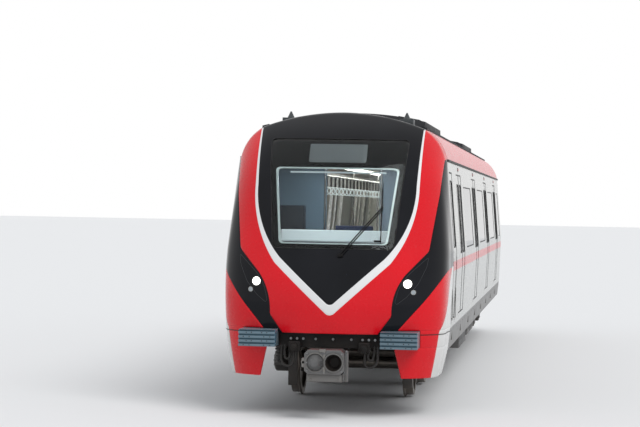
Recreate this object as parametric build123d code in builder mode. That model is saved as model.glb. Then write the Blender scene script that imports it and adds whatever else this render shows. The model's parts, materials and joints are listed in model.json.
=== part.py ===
"""Lead car of a metro train: a trailer car with a driver's cab, in millimetres, +Z up.

The cab faces -Y. The origin is half way between the coupler face and the gangway face,
on the centre line, level with the tips of the wheel flanges.
"""
import math
import os

from build123d import *

os.makedirs("parts", exist_ok=True)

# Running gear datum: every height below is given above the rail head
flange_depth = 28.0
rail = flange_depth
fit_gap = 0.3
front_clearance = 100.0

# Length positions are measured back from the faces of the anti-climbers
overall_length = 21050.0
coupler_reach = 400.0
face = coupler_reach - overall_length / 2
gangway_face = overall_length / 2
gangway_depth = 260.0
body_end = gangway_face - gangway_depth
cab_seam = face + 1600.0
cab_seam_gap = 4.0

# Cross-section of the body: height above the rail head, half width
section_rows = (
    (440.0, 1280.0),
    (730.0, 1345.0),
    (1000.0, 1375.0),
    (1750.0, 1400.0),
    (1950.0, 1400.0),
    (3110.0, 1300.0),
)
skirt_low = section_rows[0][0]
sill_low = section_rows[1][0]
sill_high = section_rows[2][0]
gutter = section_rows[5][0]
gutter_half = section_rows[5][1]
cantrail_bulge = (1212.0, 3312.0)
roof_edge = 3460.0
roof_edge_half = 1060.0
roof_crown = 3675.0
wall = 60.0

# Floor and underframe
floor_top = 1100.0
underframe_low = 950.0
headstock_low = 800.0

# Nose: height, set-back of the centre line, half width at the corner's end
nose_rows = (
    (400.0, 260.0, 1297.0),
    (1000.0, 200.0, 1384.0),
    (1600.0, 215.0, 1411.0),
    (2300.0, 450.0, 1386.0),
    (3000.0, 760.0, 1324.0),
    (3460.0, 1210.0, 1296.0),
    (3760.0, 1690.0, 1290.0),
)
nose_front_radius = 2300.0
nose_corner_radius = 700.0
nose_panel_low = 972.0
glass_thickness = 14.0

# Front outline of the black mask and its white border: half width, height
border_side = ((1035.0, 3800.0), (1010.0, 2750.0))
border_bend = ((925.0, 2230.0), (700.0, 1810.0))
border_tip = ((55.0, 1215.0), (0.0, 1192.0))
mask_side = ((1020.0, 3800.0), (974.0, 2750.0))
mask_bend = ((878.0, 2250.0), (632.0, 1870.0))
mask_tip = ((48.0, 1338.0), (0.0, 1318.0))

# Windscreen pane and the clear opening behind it: low, high, half width low, half width high
pane = (1985.0, 3330.0, 735.0, 860.0)
pane_corner = 60.0
clear = (2045.0, 2985.0, 667.0, 771.0)
clear_corner = 45.0
display_half = 355.0
display_low = 3040.0
display_high = 3270.0

# Black flank with the lamp sweep, seen from the front: half width, height
flank_top = (1281.0, 3111.0)
flank_pillar = ((1245.0, 2650.0), (1150.0, 1970.0))
flank_lamp_edge = ((890.0, 1690.0), (790.0, 1520.0), (733.0, 1190.0))
flank_toe = ((575.0, nose_panel_low), (790.0, nose_panel_low))
flank_low_edge = ((1020.0, 1260.0), (1215.0, 1500.0), (1398.0, 1778.0))
flank_reach = 1500.0

# Edge between the red corner and the white side, seen from the side: set-back, height
white_edge = ((1420.0, 1790.0), (700.0, 1000.0), (700.0, 400.0))

# Headlamps
lamp_offset = 915.0
lamp_height = 1580.0
lamp_radius = 60.0
marker_offset = 985.0
marker_height = 1480.0
marker_radius = 32.0

# Passenger doors and windows
door_pitch = 4580.0
door_count = 4
first_door = face + 4020.0
door_width = 1300.0
door_height = 1850.0
door_thickness = 45.0
door_inset = 4.0
leaf_gap = 3.0
door_glass_width = 400.0
door_glass_low = 1900.0
door_glass_high = 2820.0
window_width = 2300.0
window_low = 1950.0
window_high = 2800.0
window_corner = 90.0
rear_window_width = 900.0
rear_window = body_end - 1160.0

# Cab side door
cab_door_front = face + 1740.0
cab_door_width = 640.0
cab_door_gap = 6.0
cab_door_sweep_gap = 18.0
cab_door_low = 1106.0
cab_door_high = 2950.0
cab_glass_width = 430.0
cab_glass_low = 2000.0
cab_glass_high = 2850.0
hinge_radius = 14.0
hinge_axis_x = 1236.0
hinge_length = 90.0
hinge_heights = (1350.0, 2700.0)

# Cab inside
partition = face + 2900.0
partition_thickness = 50.0
partition_door_width = 700.0
partition_door_height = 1900.0
desk_half = 1050.0
desk_margin = 15.0

# Desk's side profile: set-back, height above the floor
desk_rows = (
    (250.0, 0.0),
    (1000.0, 0.0),
    (1000.0, 740.0),
    (1250.0, 830.0),
    (1250.0, 870.0),
    (930.0, 960.0),
    (250.0, 960.0),
)

# Driver's seat: post discs (radius, low, high), then the shell's side profile (length, height)
seat_x = 100.0
seat_y = face + 1850.0
seat_half = 240.0
seat_post = (
    (190.0, 0.0, 60.0),
    (55.0, 60.0, 400.0),
)
seat_rows = (
    (-260.0, 400.0),
    (200.0, 400.0),
    (310.0, 1150.0),
    (210.0, 1150.0),
    (130.0, 520.0),
    (-260.0, 500.0),
)

# Saloon
ceiling_low = 3060.0
ceiling_thickness = 40.0
bench_length = 2700.0
bench_depth = 430.0
bench_height = 430.0
bench_drop = 60.0
bench_back_height = 820.0
bench_back_thickness = 60.0
bench_back_foot = 95.0
bench_rise = 40.0
bench_lip = (30.0, 50.0)
pole_radius = 17.0
pole_offset = 620.0

# Roof units
unit_length = 3600.0
unit_half = 900.0
unit_side = 3640.0
unit_top = 3745.0
unit_slope = 160.0
unit_low_end = 3560.0
unit_centres = (face + 5100.0, face + 15400.0)
fan_radius = 260.0
fan_pitch = 1150.0
fan_depth = 30.0
tray_inner = 960.0
tray_outer = 1040.0
tray_rise = 40.0

# Antennas: a plate on the roof with a cone
antenna_offset = 745.0
antenna_y = face + 2150.0
antenna_tip = 3705.0
antenna_plate = (180.0, 340.0)
antenna_plate_top = 3620.0
antenna_cone = (48.0, 8.0)

# Rain gutters just under the cantrails
gutter_low = 3080.0
gutter_gap = 2.0
gutter_reach = 14.0

# Rear gangway
passage_width = 1300.0
passage_height = 1950.0
bellows_width = 1760.0
bellows_low = 930.0
bellows_high = 3330.0
bellows_folds = 5
gangway_frame_depth = 45.0

# Bogies
bogie_spacing = 12600.0
front_bogie = face + 4590.0
wheelbase = 2200.0
wheel_radius = 420.0
back_to_back = 1353.0
rim_width = 135.0
flange_width = 32.0
axle_radius = 80.0
journal_radius = 65.0
journal_offset = 965.0
box_radius = 145.0
box_width = 190.0
frame_width = 170.0
frame_end_low = 690.0
frame_end_high = 820.0
frame_mid_low = 540.0
frame_mid_high = 730.0
transom_radius = 85.0
transom_offset = 230.0
transom_height = 630.0
pivot_radius = 90.0
pivot_low = 560.0
half_base = wheelbase / 2
frame_end = half_base + 310.0
frame_shoulder = half_base - 300.0
frame_knee = half_base - 560.0
frame_nose = 30.0
frame_nose_run = 60.0
pivot_beam_half = 240.0
pivot_beam_rise = 50.0
guard_reach = half_base + 560.0
guard_inner = 700.0
guard_low = 130.0
guard_thickness = 40.0
air_spring_radius = 245.0
spring_radius = 62.0
spring_offset = 215.0

# Couplers
coupler_height = 660.0
coupler_pivot = face + 950.0
shank_radius = 78.0
drawbar_pivot = gangway_face - 1150.0
pivot_pin_radius = 50.0
flange_bolt_circle = 240.0
flange_bolts = 8
flange_bolt_hole = 11.0


def height(above_rail):
    """Height in the model of a height above the rail head."""
    return rail + above_rail


def across(y):
    """Plane across the car at a length position, with +X to its right and +Z up."""
    return Plane(origin=(0, y, 0), x_dir=(1, 0, 0), z_dir=(0, -1, 0))


def beside(x):
    """Plane along the car at an offset, with +Y to its right and +Z up."""
    return Plane(origin=(x, 0, 0), x_dir=(0, 1, 0), z_dir=(1, 0, 0))


def half_width(level, inset=0.0):
    """Half width of the body's side at a height above the rail head."""
    rows = section_rows
    for (low, low_half), (high, high_half) in zip(rows, rows[1:]):
        if low <= level <= high:
            share = (level - low) / (high - low)
            return low_half + share * (high_half - low_half) - inset
    return rows[-1][1] - inset


def side_line(low, high, inset):
    """Points of the side's outline between two heights, from low to high."""
    levels = [low] + [row[0] for row in section_rows if low < row[0] < high] + [high]
    return [(half_width(level, inset), height(level)) for level in levels]


def side_panel(start, end, low, high, inset, thickness):
    """A strip of the +X side wall between two length positions and two heights."""
    outer = side_line(low, high, inset)
    inner = side_line(low, high, inset + thickness)
    with BuildPart() as panel:
        with BuildSketch(across(start)):
            with BuildLine():
                Polyline(*outer, *reversed(inner), close=True)
            make_face()
        extrude(amount=start - end)
    return panel.part


def side_window(centre, width, low, high, corner):
    """A rounded block through the +X side wall, for an opening or to trim a pane."""
    with BuildPart() as block:
        with BuildSketch(beside(1100.0)):
            with Locations((centre, height((low + high) / 2))):
                RectangleRounded(width, high - low, corner)
        extrude(amount=500.0)
    return block.part


def cantrail_line(inset):
    """Edges of the cantrail's arc from the gutter to the roof, drawn into the open line."""
    start = (gutter_half - inset, height(gutter))
    middle = (cantrail_bulge[0] - inset, height(cantrail_bulge[1]) - inset / 2)
    end = (roof_edge_half - inset / 2, height(roof_edge) - inset)
    return start, middle, end


def roof_line(inset):
    """Points of the roof's arc from edge to crown."""
    edge = (roof_edge_half - inset / 2, height(roof_edge) - inset)
    return edge, (0.0, height(roof_crown) - inset)


def body_solid(start, end, inset, low):
    """The whole cross-section of the body as one solid between two length positions."""
    side = side_line(low, gutter, inset)
    left = [(-x, z) for x, z in reversed(side)]
    first, bulge, edge = cantrail_line(inset)
    crown = roof_line(inset)[1]
    with BuildPart() as solid:
        with BuildSketch(across(start)):
            with BuildLine():
                Polyline((-side[0][0], side[0][1]), *side)
                ThreePointArc(first, bulge, edge)
                ThreePointArc(edge, crown, (-edge[0], edge[1]))
                ThreePointArc((-edge[0], edge[1]), (-bulge[0], bulge[1]), (-first[0], first[1]))
                Polyline(*left)
            make_face()
        extrude(amount=start - end)
    return solid.part


def nose_solid(inset):
    """The nose as a loft of plan outlines: a wide front arc with a tighter arc at each corner."""
    back = cab_seam + 1500.0
    with BuildPart() as nose:
        for level, set_back, half in nose_rows:
            front_radius = nose_front_radius - inset
            corner = nose_corner_radius - inset
            width = half - inset
            tip = face + set_back + inset
            turn = math.asin((width - corner) / (front_radius - corner))
            centre_y = tip + front_radius
            join = (front_radius * math.sin(turn), centre_y - front_radius * math.cos(turn))
            corner_y = centre_y - (front_radius - corner) * math.cos(turn)
            middle = (turn + math.pi / 2) / 2
            bend = (width - corner + corner * math.sin(middle), corner_y - corner * math.cos(middle))
            side = (width, corner_y)
            with BuildSketch(Plane.XY.offset(height(level))):
                with BuildLine():
                    ThreePointArc((-join[0], join[1]), (0, tip), join)
                    ThreePointArc(join, bend, side)
                    Polyline(side, (width, back), (-width, back), (-side[0], side[1]))
                    ThreePointArc((-side[0], side[1]), (-bend[0], bend[1]), (-join[0], join[1]))
                make_face()
        loft()
    return nose.part


def front_block(side, bend, tip):
    """A shield outline seen from the front, run back through the whole cab."""
    points = [(x, height(z)) for x, z in (*side, *bend, *tip)]
    top, shoulder, curve, straight, low, end = points
    with BuildPart() as block:
        with BuildSketch(across(face - front_clearance)):
            with BuildLine():
                Line((-top[0], top[1]), top)
                Line(top, shoulder)
                ThreePointArc(shoulder, curve, straight)
                Line(straight, low)
                ThreePointArc(low, end, (-low[0], low[1]))
                Line((-low[0], low[1]), (-straight[0], straight[1]))
                ThreePointArc((-straight[0], straight[1]), (-curve[0], curve[1]), (-shoulder[0], shoulder[1]))
                Line((-shoulder[0], shoulder[1]), (-top[0], top[1]))
            make_face()
        extrude(amount=face - front_clearance - cab_seam)
    return block.part


def tapered_block(rows, corner):
    """A rounded trapezium seen from the front, run back through the whole cab."""
    low, high, low_half, high_half = rows
    with BuildPart() as block:
        with BuildSketch(across(face - front_clearance)) as sketch:
            with BuildLine():
                Polyline(
                    (-low_half, height(low)),
                    (low_half, height(low)),
                    (high_half, height(high)),
                    (-high_half, height(high)),
                    close=True,
                )
            make_face()
            fillet(sketch.vertices(), corner)
        extrude(amount=face - front_clearance - cab_seam)
    return block.part


def flank_block():
    """The +X flank's outline seen from the front, run back to the cab seam."""
    lamp = [(x, height(z)) for x, z in flank_lamp_edge]
    toe = [(x, height(z)) for x, z in flank_toe]
    low = [(x, height(z)) for x, z in flank_low_edge]
    pillar = [(x, height(z)) for x, z in flank_pillar]
    top = (flank_top[0], height(flank_top[1]))
    with BuildPart() as block:
        with BuildSketch(across(face - front_clearance)):
            with BuildLine():
                Polyline(top, *pillar, lamp[0])
                ThreePointArc(*lamp)
                Polyline(lamp[-1], *toe, low[0])
                ThreePointArc(*low)
                Polyline(low[-1], (flank_reach, low[-1][1]), (flank_reach, top[1]), top)
            make_face()
        extrude(amount=face - front_clearance - cab_seam)
    return block.part


def white_side_block():
    """The zone behind the red corner's edge, seen from the side, through both sides."""
    points = [(face + s, height(z)) for s, z in white_edge]
    back = cab_seam + 200.0
    with BuildPart() as block:
        with BuildSketch(beside(-flank_reach)):
            with BuildLine():
                Polyline(*points, (back, points[-1][1]), (back, points[0][1]), close=True)
            make_face()
        extrude(amount=2 * flank_reach)
    return block.part


def cuboid(x_range, y_range, z_range):
    """A block between two corners, its heights above the rail head."""
    size = (x_range[1] - x_range[0], y_range[1] - y_range[0], z_range[1] - z_range[0])
    with BuildPart() as block:
        with Locations(((x_range[0] + x_range[1]) / 2, (y_range[0] + y_range[1]) / 2,
                        height((z_range[0] + z_range[1]) / 2))):
            Box(*size)
    return block.part


def save(piece, name):
    """Label a finished piece and write it."""
    piece.label = name
    export_step(piece, "parts/" + name + ".step")


# Shared solids of the nose
nose_outer = nose_solid(0.0)
nose_glass = nose_solid(glass_thickness)
nose_inner = nose_solid(wall)
nose_room = nose_solid(wall + 0.5)
cab_outer = body_solid(face - front_clearance, cab_seam, 0.0, skirt_low)
cab_inner = body_solid(face - front_clearance, cab_seam, wall, skirt_low)
shield = front_block(border_side, border_bend, border_tip)
shield_inner = front_block(mask_side, mask_bend, mask_tip)
pane_block = tapered_block(pane, pane_corner)
clear_block = tapered_block(clear, clear_corner)
flank = flank_block()
display_block = cuboid((-display_half, display_half), (face - front_clearance, cab_seam), (display_low, display_high))
white_side = white_side_block()

# Space kept for the anti-climbers where they pass the front panels
anticlimber_inner = 627.0
anticlimber_outer = 1068.0
anticlimber_low = 815.0
anticlimber_high = 1015.0
anticlimber_depth = 480.0
anticlimber_ribs = 4
anticlimber_margin = 3.0
anticlimber_space = cuboid(
    (anticlimber_inner - anticlimber_margin, anticlimber_outer + anticlimber_margin),
    (face - front_clearance, face + anticlimber_depth + anticlimber_margin),
    (anticlimber_low - anticlimber_margin, anticlimber_high + anticlimber_margin),
)
anticlimber_seat = cuboid(
    (anticlimber_inner - anticlimber_margin, anticlimber_outer + anticlimber_margin),
    (face - front_clearance, face + anticlimber_depth),
    (anticlimber_low - anticlimber_margin, anticlimber_high + anticlimber_margin),
)

with BuildPart() as nose_shell:
    add(nose_outer)
    add(cab_outer, mode=Mode.INTERSECT)
    add(nose_inner.intersect(cab_inner), mode=Mode.SUBTRACT)
shell = nose_shell.part

# Black mask with the windscreen's opening and a seat for its pane
with BuildPart() as front_mask:
    add(shell)
    add(shield_inner, mode=Mode.INTERSECT)
    add(clear_block, mode=Mode.SUBTRACT)
    add(pane_block - nose_glass, mode=Mode.SUBTRACT)
    add(display_block, mode=Mode.SUBTRACT)
save(front_mask.part, "front_mask")

with BuildPart() as destination_display:
    add(nose_glass)
    add(display_block, mode=Mode.INTERSECT)
    add(nose_inner, mode=Mode.SUBTRACT)
save(destination_display.part, "destination_display")

with BuildPart() as mask_border:
    add(shell)
    add(shield, mode=Mode.INTERSECT)
    add(shield_inner, mode=Mode.SUBTRACT)
save(mask_border.part, "mask_border")

with BuildPart() as windscreen:
    add(nose_outer)
    add(pane_block, mode=Mode.INTERSECT)
    add(nose_glass, mode=Mode.SUBTRACT)
save(windscreen.part, "windscreen")

# Red panels: the front below the mask and a pillar either side of the windscreen
pillar_seam = pane[0]
upper_zone = cuboid((-flank_reach, flank_reach), (face - front_clearance, cab_seam),
                    (nose_panel_low, roof_crown + front_clearance))
pillar_zone = cuboid((-flank_reach, flank_reach), (face - front_clearance, cab_seam),
                     (pillar_seam, roof_crown + front_clearance))
with BuildPart() as flank_pair:
    add(flank)
    mirror(about=Plane.YZ)

with BuildPart() as outboard:
    with BuildSketch(across(face - front_clearance)):
        with BuildLine():
            low_points = [(x, height(z)) for x, z in flank_low_edge]
            Line((flank_toe[1][0], height(flank_toe[1][1])), low_points[0])
            ThreePointArc(*low_points)
            Polyline(low_points[2], (flank_reach, low_points[2][1]),
                     (flank_reach, height(flank_toe[1][1])), (flank_toe[1][0], height(flank_toe[1][1])))
        make_face()
    extrude(amount=face - front_clearance - cab_seam)
    mirror(about=Plane.YZ)

with BuildPart() as red_panels:
    add(shell)
    add(upper_zone, mode=Mode.INTERSECT)
    add(shield, mode=Mode.SUBTRACT)
    add(flank_pair.part, mode=Mode.SUBTRACT)
    add(outboard.part, mode=Mode.SUBTRACT)
    add(anticlimber_space, mode=Mode.SUBTRACT)
    add(mirror(anticlimber_space, about=Plane.YZ), mode=Mode.SUBTRACT)

with BuildPart() as nose_panel:
    add(red_panels.part)
    add(pillar_zone, mode=Mode.SUBTRACT)
save(nose_panel.part, "nose_panel")

with BuildPart() as pillar_panels:
    add(red_panels.part)
    add(pillar_zone, mode=Mode.INTERSECT)
save(pillar_panels.part, "pillar_panels")

# Gloss black flank with the lamp pockets, up to the cab seam
with BuildPart() as flanks:
    add(shell)
    add(flank, mode=Mode.INTERSECT)
    add(anticlimber_space, mode=Mode.SUBTRACT)
    for offset, level, radius in (
        (lamp_offset, lamp_height, lamp_radius),
        (marker_offset, marker_height, marker_radius),
    ):
        with BuildSketch(across(face - front_clearance)):
            with Locations((offset, height(level))):
                Circle(radius)
        extrude(amount=-1200.0, mode=Mode.SUBTRACT)
    mirror(about=Plane.YZ)
save(flanks.part, "flanks")

with BuildPart() as headlamps:
    for offset, level, radius in (
        (lamp_offset, lamp_height, lamp_radius),
        (marker_offset, marker_height, marker_radius),
    ):
        with BuildSketch(across(face - front_clearance)):
            with Locations((offset, height(level))):
                Circle(radius - fit_gap)
        extrude(amount=-1200.0)
    add(shell, mode=Mode.INTERSECT)
    mirror(about=Plane.YZ)
save(headlamps.part, "headlamps")

# Corners below the lamp sweep and the skirts under them: red in front, white at the side
skirt_inner_low = 860.0
skirt_inner_high = 735.0
skirt_gap = 3.0
with BuildPart() as skirt_shell:
    add(shell)
    add(cuboid((0.0, flank_reach), (face - front_clearance, cab_seam),
               (skirt_low, nose_panel_low - skirt_gap)), mode=Mode.INTERSECT)
    with BuildSketch(across(face - front_clearance)):
        with BuildLine():
            Polyline(
                (0, height(skirt_low - 50.0)),
                (skirt_inner_low, height(skirt_low - 50.0)),
                (skirt_inner_low, height(skirt_low)),
                (skirt_inner_high, height(nose_panel_low)),
                (0, height(nose_panel_low)),
                close=True,
            )
        make_face()
    extrude(amount=-1800.0, mode=Mode.SUBTRACT)
    add(anticlimber_space, mode=Mode.SUBTRACT)
    mirror(about=Plane.YZ)

with BuildPart() as corner_shell:
    add(shell)
    add(outboard.part, mode=Mode.INTERSECT)
    add(upper_zone, mode=Mode.INTERSECT)
    add(anticlimber_space, mode=Mode.SUBTRACT)
    add(mirror(anticlimber_space, about=Plane.YZ), mode=Mode.SUBTRACT)

with BuildPart() as corner_panels:
    add(corner_shell.part)
    add(skirt_shell.part)
    add(white_side, mode=Mode.SUBTRACT)
save(corner_panels.part, "corner_panels")

with BuildPart() as corner_sides:
    add(corner_shell.part)
    add(skirt_shell.part)
    add(white_side, mode=Mode.INTERSECT)
save(corner_sides.part, "corner_sides")

# Side walls, sills and cantrails
body_start = cab_seam + cab_seam_gap
door_centres = [first_door + door_pitch * index for index in range(door_count)]
window_centres = [(a + b) / 2 for a, b in zip(door_centres, door_centres[1:])]
door_top = floor_top + door_height
leaf_width = door_width / 2 - leaf_gap * 1.5
leaf_offset = door_width / 4 - leaf_gap / 4
cab_door_back = cab_door_front + cab_door_width
cab_opening_front = cab_door_front - cab_door_sweep_gap
cab_opening_back = cab_door_back + cab_door_gap
glass_blocks = [
    side_window(centre, window_width, window_low, window_high, window_corner)
    for centre in window_centres
]
glass_blocks.append(side_window(rear_window, rear_window_width, window_low, window_high, window_corner))
leaf_glass_blocks = [
    side_window(centre + side * leaf_offset, door_glass_width, door_glass_low, door_glass_high, window_corner)
    for centre in door_centres
    for side in (-1, 1)
]
cab_glass_block = side_window((cab_door_front + cab_door_back) / 2, cab_glass_width,
                              cab_glass_low, cab_glass_high, window_corner)

with BuildPart() as side_wall_right:
    add(side_panel(body_start, body_end, sill_high, gutter, 0.0, wall))
    for centre in door_centres:
        add(cuboid((1000.0, flank_reach), (centre - door_width / 2, centre + door_width / 2),
                   (floor_top, door_top)), mode=Mode.SUBTRACT)
    for block in glass_blocks:
        add(block, mode=Mode.SUBTRACT)
    add(cuboid((1000.0, flank_reach), (cab_opening_front, cab_opening_back),
               (floor_top, cab_door_high + cab_door_gap)), mode=Mode.SUBTRACT)
    with Locations(*[(hinge_axis_x, cab_door_back, height(level) - hinge_length / 2) for level in hinge_heights]):
        Cylinder(hinge_radius, hinge_length / 2 - fit_gap, align=(Align.CENTER, Align.CENTER, Align.MIN))
    for level in hinge_heights:
        add(cuboid((hinge_axis_x, half_width(level, wall) + 2.0),
                   (cab_door_back + hinge_radius * 0.7, cab_door_back + hinge_radius * 2),
                   (level - hinge_length / 2, level - fit_gap)))
save(side_wall_right.part, "side_wall_right")

with BuildPart() as side_wall_left:
    mirror(side_wall_right.part, about=Plane.YZ)
save(side_wall_left.part, "side_wall_left")

with BuildPart() as sills:
    add(side_panel(body_start, body_end, sill_low, sill_high, 0.0, wall))
    mirror(about=Plane.YZ)
save(sills.part, "sills")

with BuildPart() as cantrails:
    outer_line = cantrail_line(0.0)
    inner_line = cantrail_line(wall)
    with BuildSketch(across(body_start)):
        with BuildLine():
            ThreePointArc(*outer_line)
            Line(outer_line[2], inner_line[2])
            ThreePointArc(*reversed(inner_line))
            Line(inner_line[0], outer_line[0])
        make_face()
    extrude(amount=body_start - body_end)
    mirror(about=Plane.YZ)
save(cantrails.part, "cantrails")

with BuildPart() as roof:
    outer_edge, outer_crown = roof_line(0.0)
    inner_edge, inner_crown = roof_line(wall)
    with BuildSketch(across(body_start)):
        with BuildLine():
            ThreePointArc(outer_edge, outer_crown, (-outer_edge[0], outer_edge[1]))
            Line((-outer_edge[0], outer_edge[1]), (-inner_edge[0], inner_edge[1]))
            ThreePointArc((-inner_edge[0], inner_edge[1]), inner_crown, inner_edge)
            Line(inner_edge, outer_edge)
        make_face()
    extrude(amount=body_start - body_end)
    with BuildSketch(across(body_start)):
        for side in (-1, 1):
            with BuildLine():
                tray_low = height(roof_edge)
                Polyline(
                    (side * tray_inner, tray_low),
                    (side * tray_outer, tray_low),
                    (side * tray_outer, tray_low + tray_rise),
                    (side * tray_inner, tray_low + 1.5 * tray_rise),
                    close=True,
                )
            make_face()
    extrude(amount=body_start - body_end)
save(roof.part, "roof")

with BuildPart() as gutters:
    add(side_panel(body_start, body_end, gutter_low, gutter - gutter_gap, -gutter_reach, gutter_reach))
    mirror(about=Plane.YZ)
save(gutters.part, "gutters")

# Passenger door leaves and panes
with BuildPart() as door_leaves:
    for centre in door_centres:
        for side in (-1, 1):
            middle = centre + side * leaf_offset
            add(side_panel(middle - leaf_width / 2, middle + leaf_width / 2,
                           floor_top + fit_gap, door_top - leaf_gap, door_inset, door_thickness))
    for block in leaf_glass_blocks:
        add(block, mode=Mode.SUBTRACT)
    mirror(about=Plane.YZ)
save(door_leaves.part, "door_leaves")

with BuildPart() as side_glass:
    for block in glass_blocks:
        pane_skin = side_panel(body_start, body_end, sill_high, gutter, door_inset, glass_thickness)
        add(pane_skin.intersect(block))
    for block in leaf_glass_blocks:
        pane_skin = side_panel(body_start, body_end, sill_high, gutter, 2 * door_inset, glass_thickness)
        add(pane_skin.intersect(block))
    mirror(about=Plane.YZ)
save(side_glass.part, "side_glass")

# Cab doors, hinged at their rear edge and opening inwards
with BuildPart() as cab_door_right:
    add(side_panel(cab_door_front, cab_door_back, cab_door_low, cab_door_high, door_inset, door_thickness))
    add(cab_glass_block, mode=Mode.SUBTRACT)
    with Locations(*[(hinge_axis_x, cab_door_back, height(level)) for level in hinge_heights]):
        Cylinder(hinge_radius, hinge_length / 2, align=(Align.CENTER, Align.CENTER, Align.MIN))
    for level in hinge_heights:
        add(cuboid((hinge_axis_x, half_width(level, door_inset + door_thickness) + 2.0),
                   (cab_door_back - hinge_radius * 2, cab_door_back - hinge_radius * 0.7),
                   (level, level + hinge_length / 2)))
save(cab_door_right.part, "cab_door_right")

with BuildPart() as cab_door_left:
    mirror(cab_door_right.part, about=Plane.YZ)
save(cab_door_left.part, "cab_door_left")

with BuildPart() as cab_glass_right:
    add(side_panel(cab_door_front, cab_door_back, cab_door_low, cab_door_high, 2 * door_inset, glass_thickness))
    add(cab_glass_block, mode=Mode.INTERSECT)
save(cab_glass_right.part, "cab_glass_right")

with BuildPart() as cab_glass_left:
    mirror(cab_glass_right.part, about=Plane.YZ)
save(cab_glass_left.part, "cab_glass_left")

# Underframe: floor slab between the sills, trimmed to the nose, with bolster pads and pivots
bogie_centres = (front_bogie, front_bogie + bogie_spacing)


def floor_slab(start, end):
    """The floor slab's cross-section, face to face with the sills and side walls."""
    low_half = half_width(underframe_low, wall)
    step_half = half_width(sill_high, wall)
    top_half = half_width(floor_top, wall)
    with BuildPart() as slab:
        with BuildSketch(across(start)):
            with BuildLine():
                Polyline(
                    (-low_half, height(underframe_low)),
                    (low_half, height(underframe_low)),
                    (step_half, height(sill_high)),
                    (top_half, height(floor_top)),
                    (-top_half, height(floor_top)),
                    (-step_half, height(sill_high)),
                    close=True,
                )
            make_face()
        extrude(amount=start - end)
    return slab.part


def upright(x, y, low, high, radius):
    """A round bar standing between two heights above the rail head."""
    with BuildPart() as bar:
        with BuildSketch(Plane(origin=(x, y, height(low)))):
            Circle(radius)
        extrude(amount=high - low)
    return bar.part


def crossbar(x_range, y, level, radius):
    """A round bar across the car."""
    with BuildPart() as bar:
        with BuildSketch(Plane(origin=(x_range[0], y, height(level)), x_dir=(0, 1, 0), z_dir=(1, 0, 0))):
            Circle(radius)
        extrude(amount=x_range[1] - x_range[0])
    return bar.part


with BuildPart() as nose_floor:
    add(floor_slab(face + 250.0, cab_seam))
    add(nose_room, mode=Mode.INTERSECT)

# Cable ducts along the floor and lifting pads beside the bogies
duct_runs = ((2600.0, 6950.0), (13600.0, 19200.0))
duct_offsets = (300.0, 400.0)
duct_low = 890.0
pad_places = (front_bogie + 2000.0, front_bogie + bogie_spacing - 2000.0)
pad_offsets = (1120.0, 1280.0)
pad_half = 110.0
pad_low = 870.0
pocket_half = (170.0, 120.0)
pocket_gap = 12.0
pin_reach = 10.0

headstock_front = face + 300.0
headstock_back = face + 700.0
with BuildPart() as headstock:
    add(cuboid((-skirt_inner_high + 8.0, skirt_inner_high - 8.0), (headstock_front, headstock_back),
               (headstock_low, underframe_low)))
    add(cuboid((-anticlimber_outer, anticlimber_outer), (face + anticlimber_depth, headstock_back),
               (headstock_low, underframe_low)))
    add(nose_room, mode=Mode.INTERSECT)

with BuildPart() as underframe:
    add(nose_floor.part)
    add(floor_slab(cab_seam, body_end))
    for centre in bogie_centres:
        add(upright(0.0, centre, pivot_low, underframe_low, pivot_radius))
    for pivot in (coupler_pivot, drawbar_pivot):
        add(cuboid((-pocket_half[0], pocket_half[0]), (pivot - pocket_half[1], pivot + pocket_half[1]),
                   (coupler_height + shank_radius + pocket_gap, underframe_low)))
        add(upright(0.0, pivot, coupler_height - shank_radius - pin_reach, underframe_low, pivot_pin_radius))
    add(headstock.part)
    for start, end in duct_runs:
        for side in (-1, 1):
            offsets = sorted((side * duct_offsets[0], side * duct_offsets[1]))
            add(cuboid(offsets, (face + start, face + end), (duct_low, underframe_low)))
    for centre in pad_places:
        for side in (-1, 1):
            offsets = sorted((side * pad_offsets[0], side * pad_offsets[1]))
            add(cuboid(offsets, (centre - pad_half, centre + pad_half), (pad_low, underframe_low)))
    add(anticlimber_seat, mode=Mode.SUBTRACT)
    add(mirror(anticlimber_seat, about=Plane.YZ), mode=Mode.SUBTRACT)
save(underframe.part, "underframe")

# Anti-climbers: a block with horizontal ribs across its face
rib_pitch = (anticlimber_high - anticlimber_low) / anticlimber_ribs
rib_groove = 0.4 * rib_pitch
rib_depth = 45.0
with BuildPart() as anticlimbers:
    add(cuboid((anticlimber_inner, anticlimber_outer), (face, face + anticlimber_depth),
               (anticlimber_low, anticlimber_high)))
    for index in range(anticlimber_ribs):
        level = anticlimber_low + (index + 0.75) * rib_pitch
        add(cuboid((anticlimber_inner, anticlimber_outer), (face, face + rib_depth),
                   (level - rib_groove / 2, level + rib_groove / 2)), mode=Mode.SUBTRACT)
    mirror(about=Plane.YZ)
save(anticlimbers.part, "anticlimbers")

# Rear end wall with the gangway's doorway, and the bellows behind it
with BuildPart() as rear_wall:
    add(body_solid(body_end - wall, body_end, wall, floor_top))
    add(cuboid((-passage_width / 2, passage_width / 2), (body_end - 200.0, body_end + 200.0),
               (floor_top - 10.0, floor_top + passage_height)), mode=Mode.SUBTRACT)
save(rear_wall.part, "rear_wall")

with BuildPart() as gangway_bellows:
    fold = (gangway_face - gangway_frame_depth - body_end) / bellows_folds
    for index in range(bellows_folds):
        for part_index, shrink in ((0, 0.0), (1, 45.0)):
            start = body_end + (index + part_index / 2) * fold
            with BuildSketch(across(start)):
                with Locations((0, height((bellows_low + bellows_high) / 2))):
                    RectangleRounded(bellows_width - shrink, bellows_high - bellows_low - shrink, 120.0)
                with Locations((0, height(floor_top + passage_height / 2))):
                    Rectangle(passage_width, passage_height, mode=Mode.SUBTRACT)
            extrude(amount=-fold / 2)
save(gangway_bellows.part, "gangway_bellows")

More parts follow.
